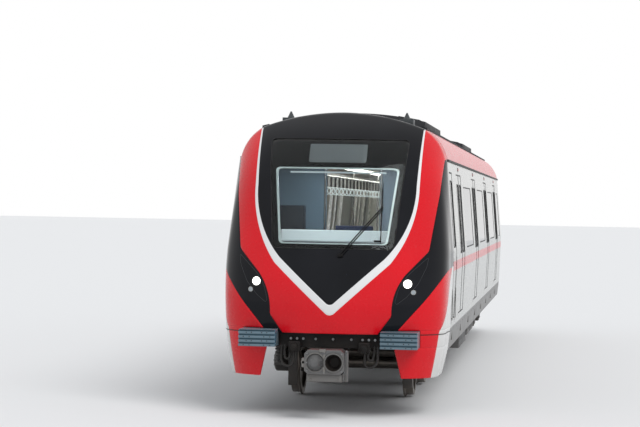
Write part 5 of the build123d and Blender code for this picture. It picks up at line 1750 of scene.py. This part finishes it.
@dataclass
class NoseLines(Builder):
    """Seals, lamp covers, wiper and cab fittings of the nose.

    Attributes:
        pivot: x and height of the wiper's pivot.
        knuckle: x and height where arms and blade meet.
        blade: low and high end of the blade.
        spread: distance between the twin arms.
        cover: outline of the swept lamp cover seen from the front.
        clip: half size in metres of the clips that hold the blade.
    """

    pivot: tuple[float, float] = (95.0, 1905.0)
    knuckle: tuple[float, float] = (575.0, 2490.0)
    blade: tuple[float, float] = (2060.0, 2800.0)
    spread: float = 30.0
    cover: tuple = ((1150.0, 1905.0), (905.0, 1672.0), (815.0, 1530.0), (770.0, 1360.0), (792.0, 1332.0),
                    (905.0, 1420.0), (1040.0, 1580.0), (1130.0, 1780.0))
    clip: Triple = (0.007, 0.006, 0.022)

    def build(self) -> None:
        """Lines round the glass, the seam, the lamp covers, the wiper and the anti-climbers."""
        self.lines()
        self.wiper()
        self.climbers()
        self.headstock()

    def _flush(self, flat: Curve, lift: float = 0.0) -> np.ndarray:
        """Points laid on the nose, in metres."""
        points = self.form.front(flat)
        return metres(points + self.form.normals(points) * lift)

    def lines(self) -> None:
        """Rubber lines round the windscreen and lamp covers, and along the cab seam."""
        loop = loop_of(1985.0, 3330.0, 735.0, 860.0, 58.0, (60, 60))
        self.rows.pipes("windscreen_gasket", SEAL, [self._flush(loop)], 0.0045, 0.0, closed=True)
        shape = np.array(self.cover + self.cover[:1])
        steps = np.arange(len(shape))
        fine = np.linspace(0, len(shape) - 1, 97)[:-1]
        soft = np.stack([np.interp(fine, steps, shape[:, k]) for k in range(2)], -1)
        for _ in range(3):
            soft = (np.roll(soft, 1, 0) + 2 * soft + np.roll(soft, -1, 0)) / 4
        cover = self._flush(soft, 0.5)
        covers = [cover, cover * FLIP]
        self.rows.pipes("lamp_cover_lines", GROOVE, covers, 0.0028, 0.0, closed=True)
        edge = self.form.rising[self.form.rising[:, 1] > 430.0]
        seam = np.concatenate([edge, edge[::-1][1:] * (-1.0, 1.0)])
        inset, low = np.sign(seam[:, 0]) * 4.6, seam[:, 1] - 2.0
        ring = metres(np.stack([seam[:, 0] - inset, np.full(len(seam), SEAM + 2.0), low], -1))
        self.rows.pipes("cab_seam_seal", SEAL, [ring], 0.0045, 0.0)
        front = self.form.front(np.linspace((1078.0, 968.0), (1240.0, 968.0), 14))
        back = np.linspace(front[-1][1] + 12.0, SEAM - 4.0, 40)
        line = metres(np.concatenate([front, self.form.side(back, np.full(40, 968.0))]))
        self.rows.pipes("skirt_seam", SEAL, [line, line * FLIP], 0.005, 0.0)

    def wiper(self) -> None:
        """Twin arms from a boss, a knuckle, and a blade with its rubber."""
        lift = 24.0
        arms, heads = [], []
        for shift in (0.0, self.spread):
            flat = np.linspace((self.pivot[0] + shift, self.pivot[1]),
                               (self.knuckle[0], self.knuckle[1] - shift * 1.2), 14)
            arms.append(self._flush(flat, lift))
            heads.append(self._flush(flat[:1], 27.0)[0])
            heads.append(self._flush(flat[-1:], 27.0)[0])
        x = self.knuckle[0]
        spine = self._flush(np.linspace((x, self.blade[0] + 60.0), (x, self.blade[1] - 120.0), 16), 15.0)
        rubber = self._flush(np.linspace((x, self.blade[0]), (x, self.blade[1]), 24), 5.0)
        self.rows.pipes("wiper_arms", WIPER, arms, 0.0078, 0.0)
        self.rows.pipes("wiper_spine", WIPER, [spine], 0.0058, 0.0)
        self.rows.pipes("wiper_rubber", WIPER, [rubber], 0.0046, 0.0)
        parts = []
        for flat, radius in ((self.pivot, 24.0), ((self.pivot[0] + self.spread, self.pivot[1]), 20.0),
                             (self.knuckle, 16.0), ((x, self.knuckle[1] - 36.0), 14.0)):
            base = self.form.front([flat])
            aim = self.form.normals(base)[0]
            low = -2.0 if flat[1] < 2000.0 else 8.0
            profile = ((0.0, low), (radius, low), (radius, 22.0), (0.75 * radius, 29.0), (0.4 * radius, 31.0),
                       (0.35 * radius, 33.5), (0.0, 33.8))
            parts.append(turned([(r / 1000, h / 1000) for r, h in profile], metres(base)[0], aim, 24))
        for level in (self.blade[0] + 60.0, 2240.0, 2560.0, self.blade[1] - 120.0):
            base = self._flush([(x, level)], 10.0)[0]
            parts.append(block(base - self.clip, base + self.clip, 0.002))
        foot = metres(self.form.front([(x - 32.0, 2086.0)]))[0]
        parts.append(block(foot - (0.045, 0.024, 0.011), foot + (0.045, -0.002, 0.011), 0.004))
        self.shop.solids("wiper_joints", WIPER, parts, replaces=("wiper",))

    def climbers(self) -> None:
        """Eased anti-climbers, with rows of dark discs in their ribs that are painted shade standing in for
        bolt holes.
        """
        self.shop.eased(CLIMBER, 0.004, "anticlimbers")
        low, high = [box for box in self.shop.boxes("anticlimbers") if box[0][0] > 0][0]
        pitch = (high[2] - low[2]) / 4
        heads = []
        for row in range(4):
            z = low[2] + (row + 0.3) * pitch
            for share in (0.22, 0.36, 0.64, 0.78) if row % 2 else (0.14, 0.3, 0.7, 0.86):
                heads.append((low[0] + share * (high[0] - low[0]), low[1] + 0.0005, z))
        # Dark discs of painted shade stand in for the bolt holes.
        self.rows.bolts("climber_hole_shades", SEAL, both_sides(heads), AHEAD, 0.0075, 0.0025, 12)

    def headstock(self) -> None:
        """Bolts across the beam under the panel, hoses and jumper sockets beside the coupler."""
        y = FACE_Y + 0.3
        heads = [(x, y, 0.931) for x in (-0.47, -0.395, -0.32, -0.17, 0.04, 0.26, 0.395, 0.47, 0.545)]
        self.rows.bolts("beam_bolts", BOLT, heads, AHEAD, 0.017, 0.012, 12)
        parts = []
        for x in (-0.42, 0.42):
            parts.append(block((x - 0.07, y - 0.09, 0.78), (x + 0.07, y + 0.01, 0.9), 0.01))
            parts.append(turned(((0.0, 0.0), (0.045, 0.0), (0.045, 0.035), (0.03, 0.045), (0.0, 0.045)),
                                (x, y - 0.09, 0.835), (0.0, -1.0, -0.25), 24))
        self.shop.solids("jumper_sockets", UNDER, parts)
        hoses = []
        for x, reach, low in ((0.43, 0.15, 0.6), (0.47, 0.07, 0.68)):
            hose = np.array([(x, y - 0.05, 0.8), (x, y - 0.08, low + 0.04), (x + reach * 0.3, y - 0.085, low),
                             (x + reach * 0.8, y - 0.075, low + 0.02), (x + reach, y - 0.05, low + 0.09),
                             (x + reach, y - 0.01, 0.85)])
            hoses += [hose, hose * FLIP]
        self.rows.pipes("air_hoses", SEAL, hoses, 0.016, 0.07)


@dataclass
class CouplerHead(Builder):
    """The automatic coupler's cast head, electric box and linkage.

    Attributes:
        face: length position of the head's plate.
        level: height of its axis.
        cone: offset of the cone.
        funnel: offset of the funnel.
    """

    face: float = -10.435
    level: float = 0.688
    cone: float = -0.105
    funnel: float = 0.11
    body: str = "front_coupler"

    def build(self) -> None:
        """Eases the casting and adds rims, bolts, claws, the box's lid and the side lever."""
        self.shop.eased(CAST, 0.007, "coupler", body=self.body)
        y, z = self.face, self.level
        funnel_rim = ((0.098, -0.012), (0.098, 0.01), (0.104, 0.016), (0.114, 0.014), (0.119, 0.004),
                      (0.121, -0.01), (0.098, -0.012))
        cone_rim = ((0.1, -0.005), (0.1, 0.006), (0.108, 0.01), (0.118, 0.004), (0.12, -0.008), (0.1, -0.005))
        cap = ((0.0, 0.088), (0.02, 0.0895), (0.038, 0.086), (0.045, 0.078), (0.046, 0.07), (0.0, 0.07))
        rims = [turned(profile, (x, y, z), AHEAD, sides) for profile, x, sides in (
            (funnel_rim, self.funnel, 48), (cone_rim, self.cone, 48), (cap, self.cone, 40))]
        for x, low, high in ((-0.257, -0.06, 0.05), (-0.262, -0.02, 0.018)):
            rims.append(block((x - 0.012, y + 0.02, z + low), (-0.228, y + 0.13, z + high), 0.006))
        rims.append(block((-0.06, y - 0.012, z + 0.118), (0.02, y + 0.05, z + 0.158), 0.006))
        rims.append(block((-0.012, y - 0.006, z - 0.13), (0.014, y + 0.004, z + 0.1), 0.003))
        self.shop.solids("coupler_rims", CAST, rims, self.body)
        # The funnel's throat is painted near black, a painted shade of its hollow.
        throat_shade = turned(((0.0, -0.1285), (0.059, -0.1285), (0.0995, -0.004), (0.098, -0.004),
                         (0.0575, -0.127), (0.0, -0.127)), (self.funnel, y, z), AHEAD, 40)
        self.shop.solids("funnel_throat_shade", UNDER, [throat_shade], self.body)
        heads = [(x, y - 0.001, z + rise) for x, rise in (
            (-0.2, 0.105), (-0.2, -0.095), (0.207, 0.105), (0.207, -0.1), (0.0, 0.12), (0.0, -0.118),
            (-0.205, 0.0), (0.222, 0.03))]
        self.rows.bolts("coupler_bolts", BOLT, heads, AHEAD, 0.011, 0.009, 6, self.body)
        front = FACE_Y - 0.26
        lid = [block((-0.2, front - 0.014, 0.466), (0.2, front + 0.002, 0.54), 0.006),
               block((-0.185, front - 0.02, 0.53), (0.185, front + 0.01, 0.545), 0.004)]
        for x in (-0.16, 0.16):
            lid.append(block((x - 0.012, front - 0.022, 0.48), (x + 0.012, front, 0.5), 0.003))
        self.shop.solids("contact_box_lid", CASE, lid, self.body)
        pin = ((0.0, -0.012), (0.011, -0.01), (0.011, 0.01), (0.0, 0.012))
        pins = [turned(pin, (0.252, y + 0.16, level), AHEAD, 16) for level in (0.52, 0.6, 0.68, 0.76)]
        lever = [block((0.238, y + 0.11, 0.806), (0.262, y + 0.17, 0.83), 0.004)]
        self.shop.solids("side_lever", BOLT, pins + lever, self.body)
        line = np.array([(-0.13, y + 0.28, 0.6), (-0.14, y + 0.4, 0.6), (-0.1, y + 0.55, 0.64),
                         (-0.075, y + 0.85, 0.67)])
        self.rows.pipes("coupler_lines", SEAL, [line, line * FLIP], 0.012, 0.06, self.body)


@dataclass
class CabInside(Builder):
    """What shows through the windscreen.

    Attributes:
        hood: set-back of the pale hood on the desk.
        hood_top: its height above the rail.
        screens: x of each screen.
    """

    hood: float = 930.0
    hood_top: float = 2205.0
    screens: Triple = (-360.0, 0.0, 360.0)

    def build(self) -> None:
        """Desk, pale hood with a painted glow, screens, seat, blind rail with the same painted glow, cab lamp
        and back wall.
        """
        self.shop.eased(DESK, 0.012, "driver_desk")
        self.shop.eased(CLOTH, 0.02, "driver_seat")
        self.shop.repaint("cab_partition", CAB_WALL)
        hood = [self._box((-690.0, self.hood - 60.0, 2061.0), (690.0, self.hood, self.hood_top), 0.012)]
        for x in self.screens:
            back = metres((x, self.hood + 1.0, 2120.0))
            hood.append(block(back + (-0.15, 0.0, -0.05), back + (0.15, 0.03, 0.08), 0.006))
        self.shop.solids("desk_hood", PALE_GLOW, hood)
        self.shop.solids("desk_screens", SCREEN, [
            self._box((x - 130.0, self.hood + 31.0, 2085.0), (x + 130.0, self.hood + 33.0, 2190.0), 0.001)
            for x in self.screens])
        rail = self._box((-590.0, 935.0, 2902.0), (590.0, 960.0, 2924.0), 0.004)
        self.shop.solids("blind_rail", PALE_GLOW, [rail])
        lamp = self._box((-420.0, 1900.0, 3036.0), (420.0, 2300.0, 3058.0), 0.006)
        self.shop.solids("cab_lamp", CAB_LIGHT, [lamp])
        lever = ((0.0, 0.0), (0.012, 0.0), (0.01, 0.09), (0.024, 0.1), (0.024, 0.12), (0.0, 0.13))
        levers = [turned(lever, metres((x, 1130.0, 1985.0)), (0.0, -0.2, 1.0), 20) for x in (-330.0, 330.0)]
        self.shop.solids("desk_levers", SEAL, levers)
        half, wall, floor, top = 370.0, 2896.0, 1100.0, 3020.0
        trim = metres([(-half, wall, floor), (-half, wall, top), (half, wall, top), (half, wall, floor)])
        self.rows.pipes("doorway_trim", POLE, [trim], 0.014, 0.03)
        cabinets = [self._box((x - 210.0, 2700.0, floor + 1.0), (x + 210.0, wall, 2500.0), 0.01)
                    for x in (-830.0, 830.0)]
        self.shop.solids("cab_cabinets", DESK, cabinets)

    def _box(self, low: Triple, high: Triple, cut: float) -> Solid:
        """A block between corners given as x, set-back and height above the rail in millimetres."""
        return block(metres(low), metres(high), cut)


@dataclass
class Saloon(Builder):
    """What shows of the saloon through the side windows and from the gangway."""

    def build(self) -> None:
        """Floor, lamps, rails, straps, benches and gangway floor."""
        self.shop.eased(SHELL, 0.014, "benches")
        self.shop.solids("saloon_floor", FLOOR, [block((-1.24, -7.16, 1.1282), (1.24, 10.19, 1.131), 0.001),
                                            block((-0.6, 10.2, 1.1282), (0.6, 10.52, 1.134), 0.002)])
        self.shop.solids("saloon_lamps", SALOON_LIGHT, [
            block((x - 0.07, -7.0, 3.07), (x + 0.07, 10.1, 3.087), 0.004) for x in (-0.42, 0.42)])
        start, end, ceiling, grip = -6.9, 10.1, 3.086, 2.95
        rails = [[(x, start, ceiling), (x, start, grip), (x, end, grip), (x, end, ceiling)]
                 for x in (-0.56, 0.56)]
        self.rows.pipes("hand_rails", POLE, rails, 0.015, 0.06)
        loops = np.array([(x, y, 2.74) for x in (-0.56, 0.56) for y in np.arange(-6.4, 9.9, 0.57)])
        # The strap rings wear the pale moulding with its painted glow.
        self.rows.make(Pattern.HOOPS, "strap_rings", PALE_GLOW, loops, values={"Wire": 0.007}, aim=ALONG,
                       size=(0.052, 0.052, 0.052))
        self.rows.make(Pattern.BARS, "strap_bands", SEAL, loops + (0.0, 0.0, 0.135),
                       size=(0.028, 0.006, 0.17), turn=LEVEL)


@dataclass
class Roof(Builder):
    """Fans, grilles and ribs of the roof.

    Attributes:
        lid_top: top of the roof units' arched lids.
        lid_half: half width of a lid.
        lid_drop: how far a lid falls to its edges.
        fan_shift: distance of each fan from its unit's middle.
        hub: profile of a fan's hub.
        well: profile of the dark disc under a fan, painted shade of the fan's opening.
        grille_x: distance of each row of grilles from the centre line.
        grille_shift: distance between the grilles of a row.
        slat_pitch: distance between the slats of a grille.
    """

    lid_top: float = 3.773
    lid_half: float = 0.9
    lid_drop: float = 0.105
    fan_shift: float = 0.575
    hub: tuple = ((0.0, 0.016), (0.035, 0.014), (0.05, 0.004), (0.05, 0.0), (0.0, 0.0))
    well: tuple = ((0.0, 0.0), (0.258, 0.0), (0.258, 0.0016), (0.0, 0.0016))
    grille_x: float = 0.66
    grille_shift: float = 1.1
    slat_pitch: float = 0.0515

    def _lid(self, x: float) -> float:
        """Height of a unit's arched lid at a distance from the centre line."""
        radius = (self.lid_half ** 2 + self.lid_drop ** 2) / (2 * self.lid_drop)
        return self.lid_top - radius + math.sqrt(radius ** 2 - x ** 2)

    def build(self) -> None:
        """Units with guards, fans, grilles and bolts, antennas and ribs."""
        self.shop.eased(UNIT, 0.006, "roof_units")
        self.shop.eased(ANTENNA, 0.003, "antennas")
        units = [(low[1], high[1], (low[1] + high[1]) / 2) for low, high in self.shop.boxes("roof_units")]
        self._fans([middle + shift for _, _, middle in units for shift in (-self.fan_shift, self.fan_shift)])
        self._grilles([middle for _, _, middle in units])
        heads = [(x * 1.27, y, self._lid(x * 1.27) - 0.001) for start, end, _ in units
                 for x in (-self.grille_x, self.grille_x) for y in np.arange(start + 0.35, end - 0.3, 0.29)]
        self.rows.bolts("unit_bolts", BOLT, heads, UP, 0.009, 0.005)
        self._ribs()

    def _fans(self, places: Sequence[float]) -> None:
        """Each fan's guard rings and bars, blades, hub, and a dark disc of painted shade under it.

        Args:
            places: length position of each fan.
        """
        radii = (0.07, 0.12, 0.17, 0.22, 0.255)
        hoops = [(0.0, y, self.lid_top - 0.0065) for y in places for _ in radii]
        sizes = [(radius, radius, radius) for _ in places for radius in radii]
        self.rows.make(Pattern.HOOPS, "fan_guards", BOLT, hoops, values={"Wire": 0.0028}, aim=UP, size=sizes)
        bars, sizes, turns = [], [], []
        for y in places:
            for turn in np.linspace(0.0, math.pi, 5)[:-1]:
                bars.append((0.0, y, self.lid_top - 0.0105))
                sizes.append((0.51, 0.008, 0.004))
                turns.append((0.0, 0.0, turn))
            for turn in np.linspace(0.0, 2 * math.pi, 8)[:-1]:
                bars.append((0.13 * math.cos(turn), y + 0.13 * math.sin(turn), self.lid_top - 0.0215))
                sizes.append((0.2, 0.09, 0.003))
                turns.append((0.15, 0.0, turn))
        self.rows.make(Pattern.BARS, "fan_blades", CASE, bars, size=sizes, turn=turns)
        hubs = [turned(self.hub, (0.0, y, self.lid_top - 0.0285), UP, 28) for y in places]
        # A thin dark disc under each fan is painted shade of its opening.
        well_shades = [turned(self.well, (0.0, y, self.lid_top - 0.0298), UP, 40) for y in places]
        self.shop.solids("fan_hubs", BOLT, hubs)
        self.shop.solids("fan_well_shades", SEAL, well_shades)

    def _grilles(self, middles: Sequence[float]) -> None:
        """Three grilles on each side of every unit, each a dark pad of painted shade under its slats.

        Args:
            middles: length position of each unit's middle.
        """
        shade_pads = [(x, middle + shift, self._lid(x)) for middle in middles
                for x in (-self.grille_x, self.grille_x)
                for shift in (-self.grille_shift, 0.0, self.grille_shift)]
        slats = [(x, y - 0.36 + k * self.slat_pitch, z + 0.001) for x, y, z in shade_pads for k in range(15)]
        # The dark pads are painted shade seen between the slats.
        self.rows.make(Pattern.BARS, "grille_shade_pads", SEAL, np.array(shade_pads) - (0.0, 0.0, 0.0015),
                       size=(0.3, 0.84, 0.005), turn=[(0.0, self._tilt(x), 0.0) for x, _, _ in shade_pads])
        self.rows.make(Pattern.BARS, "grille_slats", UNIT, slats, size=(0.29, 0.034, 0.004),
                       turn=[(0.55, self._tilt(x), 0.0) for x, _, _ in slats])

    def _tilt(self, x: float) -> float:
        """Lean of a lid at a distance from the centre line."""
        return math.asin(x / 3.91)

    def _ribs(self) -> None:
        """Ribs along the roof, the outer ones left off beside the cab."""
        ribs = []
        for x in (-0.75, -0.45, -0.15, 0.15, 0.45, 0.75):
            z = float(self.roof(np.array([x]))[0])
            ribs += [block((x - 0.02, start, z - 0.02), (x + 0.02, end, z + 0.006), 0.004)
                     for start, end in ((-8.35, -7.0), (-3.1, 3.35), (7.2, 10.2))
                     if start > -8.0 or abs(x) < 0.6]
        self.shop.solids("roof_ribs", ROOF, ribs)


@dataclass
class Underfloor(Builder):
    """Cases, pipes and straps under the floor.

    Attributes:
        outer_face: least distance from the centre line of a case's outer face.
    """

    outer_face: float = 1.1

    def build(self) -> None:
        """Cases with lids, latches and bolts, pipe runs and reservoir bands."""
        self.shop.eased(CASE, 0.008, "converter_case", "battery_cases", "brake_case")
        lids, latches, heads = [], [], []
        for low, high in self.shop.boxes("battery_cases") + self.shop.boxes("brake_case"):
            y0, y1, z0, z1 = low[1] + 0.05, high[1] - 0.05, low[2] + 0.05, high[2] - 0.07
            for x in (low[0], high[0]):
                if abs(x) < self.outer_face:
                    continue
                sign = math.copysign(1.0, x)
                lids.append(block((x - sign * 0.004, y0, z0), (x + sign * 0.012, y1, z1), 0.005))
                latches += [(x + sign * 0.015, y0 + share * (y1 - y0), z0 + 0.05) for share in (0.25, 0.75)]
                heads += [(x + sign * 0.0115, y, z1 - 0.025) for y in np.linspace(y0 + 0.03, y1 - 0.03, 5)]
        self.shop.solids("case_lids", CASE, lids)
        self.rows.make(Pattern.BARS, "case_latches", BOLT, latches, size=(0.012, 0.035, 0.07), turn=LEVEL)
        aims = [(math.copysign(1.0, x), 0.0, 0.0) for x, _, _ in heads]
        self.rows.bolts("case_bolts", BOLT, heads, aims, 0.009, 0.006)
        runs = [[(x, -8.6, z), (x, -3.4, z), (x * 0.3, -3.3, z), (x * 0.3, 4.6, z), (x, 4.8, z), (x, 9.2, z)]
                for x, z in ((0.52, 0.93), (0.58, 0.93), (-0.55, 0.93))]
        self.rows.pipes("floor_pipes", POLE, runs, 0.012, 0.09)
        bands, sizes = [], []
        for low, high in self.shop.boxes("air_reservoirs"):
            centre = ((low[0] + high[0]) / 2, 0.0, low[2] + 0.19)
            for y in (low[1] + 0.275, low[1] + 1.075):
                bands.append((centre[0], y, centre[2]))
                sizes.append((0.192, 0.192, 0.192))
        self.rows.make(Pattern.HOOPS, "reservoir_bands", BOLT, bands, values={"Wire": 0.006}, aim=ALONG,
                       size=sizes)


@dataclass
class Bogie(Builder):
    """Springs, covers, dampers and pipes of one bogie.

    Attributes:
        place: front or rear.
        centre: its length position.
        half_base: half its wheelbase.
        axle_level: height of its axles.
        bolt_circle: radius of the circle of bolts on each axle cover.
    """

    place: str = "front"
    centre: float = -5.535
    half_base: float = 1.1
    axle_level: float = 0.448
    bolt_circle: float = 0.07

    def build(self) -> None:
        """Eases the castings and adds what hangs on them."""
        body = "bogie_" + self.place
        self.shop.eased(BOGIE, 0.008, "bogie_frame_" + self.place, body=body)
        self.shop.eased(CAST, 0.008, "brake_units_" + self.place, body=body)
        self.shop.eased(BOGIE, 0.004, "axleboxes_" + self.place, body=body)
        springs, covers, heads, tubes, brackets, pipes = [], [], [], [], [], []
        cover = ((0.0, 0.014), (0.085, 0.014), (0.1, 0.008), (0.1, -0.004), (0.0, -0.004))
        damper = ((0.0, 0.0), (0.02, 0.0), (0.026, 0.01), (0.026, 0.15), (0.036, 0.155), (0.036, 0.3),
                  (0.02, 0.31), (0.0, 0.31))
        for axle in (self.centre - self.half_base, self.centre + self.half_base):
            springs += [(0.965, axle + shift, 0.452) for shift in (-0.215, 0.215)]
            covers.append(turned(cover, (1.06, axle, self.axle_level), (1.0, 0.0, 0.0), 36))
            for turn in np.arange(6) * math.pi / 3:
                across, up = self.bolt_circle * math.cos(turn), self.bolt_circle * math.sin(turn)
                heads.append((1.0735, axle + across, self.axle_level + up))
        for shift in (-0.5, 0.5):
            y = self.centre + shift
            tubes.append(turned(damper, (1.1, y, 0.6), UP, 24))
            brackets.append(block((1.045, y - 0.035, 0.575), (1.14, y + 0.035, 0.6), 0.006))
            brackets.append(block((1.045, y - 0.045, 0.6), (1.062, y + 0.045, 0.74), 0.005))
        pipes.append([(1.058, self.centre + dy, z) for dy, z in (
            (-1.38, 0.8), (-0.82, 0.8), (-0.56, 0.66), (0.56, 0.66), (0.82, 0.8), (1.38, 0.8))])
        for shift in (-0.85, 0.85):
            pipes.append([(0.99, self.centre + shift, 0.84), (0.99, self.centre + shift, 0.862),
                          (0.6, self.centre + shift * 0.6, 0.862), (0.5, self.centre + shift * 0.3, 0.72)])
        self.rows.make(Pattern.COILS, "springs_" + self.place, SPRING, both_sides(springs), body,
                       {"Wire": 0.011, "Radius": 0.071, "Height": 0.252, "Turns": 5.5}, smooth=60.0)
        self.shop.solids("axle_covers_" + self.place, CASE, mirrored(covers), body)
        aims = both_sides([(1.0, 0.0, 0.0)] * len(heads))
        self.rows.bolts("axle_bolts_" + self.place, BOLT, both_sides(heads), aims, 0.01, 0.008, body=body)
        self.shop.solids("dampers_" + self.place, SPRING, mirrored(tubes), body)
        self.shop.solids("damper_brackets_" + self.place, BOGIE, mirrored(brackets), body)
        self.rows.pipes("brake_pipes_" + self.place, SEAL,
                        [np.array(p) * (s, 1.0, 1.0) for p in pipes for s in (-1.0, 1.0)], 0.008, 0.04, body)


@dataclass
class Gangway(Builder):
    """The bellows' folds, from a start to an end along the car, and the passage's trim."""

    folds: int = 5
    start: float = 10.265
    end: float = 10.48

    def build(self) -> None:
        """Folds round the passage, the eased end frame, and the wall's handrails."""
        self.shop.eased(UNDER, 0.006, "gangway_frame")
        step = (self.end - self.start) / self.folds
        places = [(0.0, self.start + (k + 0.25) * step, 2.158) for k in range(self.folds)]
        self.rows.make(Pattern.FOLDS, "bellows_folds", RUBBER, places,
                       values={"Wire": 0.0105, "Width": 1.739, "Height": 2.379, "Corner": 0.11}, smooth=60.0)
        rails, plates = [], []
        for x in (-1.12, 1.12):
            plates.append(block((x - 0.07, 10.19, 1.2), (x + 0.07, 10.245, 1.36), 0.01))
            plates.append(turned(((0.0, 0.0), (0.05, 0.0), (0.05, 0.05), (0.035, 0.06), (0.0, 0.06)),
                                 (x, 10.24, 1.28), (0.0, 1.0, -0.3), 24))
            plates.append(block((x - 0.09, 10.19, 0.96), (x + 0.09, 10.21, 1.06), 0.006))
            rails.append([(x, 10.19, 1.6), (x, 10.245, 1.6), (x, 10.245, 2.2), (x, 10.19, 2.2)])
        self.shop.solids("end_sockets", UNDER, plates)
        for x in (-0.62, 0.62):
            rails.append([(x, 10.15, 1.4), (x * 0.94, 10.13, 1.4), (x * 0.94, 10.13, 2.3), (x, 10.15, 2.3)])
        self.rows.pipes("doorway_rails", POLE, rails, 0.014, 0.03)


@dataclass
class Studio:
    """Camera, pale floor and plain soft light.

    Attributes:
        place: the camera's place in metres.
        yaw: turn towards -X in degrees.
        pitch: tilt upwards in degrees.
        roll: turn about the view in degrees.
        focal: focal length in pixels of the 640 wide picture.
    """

    place: Triple = (2.869, -37.081, 2.545)
    yaw: float = 6.312
    pitch: float = -0.227
    roll: float = -1.024
    focal: float = 2285.0

    def camera(self) -> None:
        """Sets the camera at the photograph's viewing angle."""
        yaw, pitch, roll = (math.radians(a) for a in (self.yaw, self.pitch, self.roll))
        ahead = Vector((-math.sin(yaw) * math.cos(pitch), math.cos(yaw) * math.cos(pitch), math.sin(pitch)))
        level = Vector((math.cos(yaw), math.sin(yaw), 0.0))
        down = ahead.cross(level)
        right = level * math.cos(roll) + down * math.sin(roll)
        below = down * math.cos(roll) - level * math.sin(roll)
        data = bpy.data.cameras.new("camera")
        data.sensor_width = 36.0
        data.lens = 36.0 * self.focal / 640.0
        data.clip_start, data.clip_end = 0.5, 400.0
        camera = placed("camera", data)
        turn = Matrix((right, -below, -ahead)).transposed().to_4x4()
        camera.matrix_world = Matrix.Translation(self.place) @ turn
        bpy.context.scene.camera = camera

    def light(self) -> None:
        """A pale even sky that also shows in glass and metal, and one broad key light."""
        scene = bpy.context.scene
        scene.view_settings.view_transform = "Standard"
        world = scene.world or bpy.data.worlds.new("studio")
        scene.world = world
        world.use_nodes = True
        world.node_tree.nodes.clear()
        graph = Graph(world.node_tree)
        rays = graph.tree.nodes.new("ShaderNodeLightPath").outputs
        direct = graph.maths("MAXIMUM", rays["Is Camera Ray"], rays["Is Glossy Ray"])
        seen = graph.node("ShaderNodeBackground", {"Color": (1.0, 1.0, 1.0, 1.0), "Strength": 1.0})
        given = graph.node("ShaderNodeBackground", {"Color": (0.93, 0.96, 1.0, 1.0), "Strength": 0.62})
        direct = graph.maths("MAXIMUM", direct, rays["Is Transmission Ray"])
        mix = graph.node("ShaderNodeMixShader", {0: direct, 1: given, 2: seen})
        graph.fill(graph.tree.nodes.new("ShaderNodeOutputWorld"), {0: mix})
        data = bpy.data.lights.new("key", "SUN")
        data.energy = 1.7
        data.angle = math.radians(35.0)
        key = placed("key", data)
        key.rotation_euler = (math.radians(38.0), math.radians(22.0), math.radians(18.0))
        key.visible_glossy = False

    def floor(self) -> None:
        """A pale floor that keeps the car's shadow."""
        data = bpy.data.meshes.new("floor")
        reach = 300.0
        corners = [(x * reach, y * reach, 0.0) for x, y in ((-1, -1), (1, -1), (1, 1), (-1, 1))]
        data.from_pydata(corners, [], [(0, 1, 2, 3)])
        paint = Paint("floor_paint")
        paint.fill(paint.shader, {"Base Color": (0.82, 0.82, 0.82, 1.0), "Roughness": 0.9})
        data.materials.append(paint.material)
        placed("floor", data)


def main(frame: dict) -> None:
    """Builds every sub-assembly in order and reports it.
    """
    logging.basicConfig(level=logging.INFO, format="%(name)s: %(message)s")
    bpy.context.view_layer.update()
    shop = Workshop(frame)
    kit = (NoseForm(), shop, Repeater(shop))
    for kind in (NoseSkins, NoseLines, CouplerHead, CabInside, Side, Saloon, Roof, Underfloor, Bogie):
        kind(*kit).build()
    Bogie(*kit, place="rear", centre=7.065).build()
    Gangway(*kit).build()
    for finish, nodes in (
            (CANTRAIL, ("cantrails",)), (ROOF, ("roof",)), (SILL, ("sills",)), (UNDER, ("underframe",)),
            (SILVER, ("side_wall_left", "side_wall_right", "door_leaves", "cab_door_left", "cab_door_right")),
            (DARK_PANE, ("side_glass", "cab_glass_left", "cab_glass_right")),
            (RUBBER, ("gangway_bellows", "air_springs_front", "air_springs_rear")),
            (LINING, ("ceiling", "rear_wall")), (POLE, ("grab_poles",)),
            (CASE, ("air_reservoirs",)), (CAST, ("rear_drawbar",)), (SEAL, ("gutters",)),
            (WHEEL, ("wheelset_1", "wheelset_2", "wheelset_3", "wheelset_4"))):
        for node in nodes:
            shop.repaint(node, finish)
    studio = Studio()
    studio.floor()
    studio.light()
    studio.camera()
    for name in shop.made:
        log.info("built %s", name)


if __name__ == "__main__":
    main(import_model())
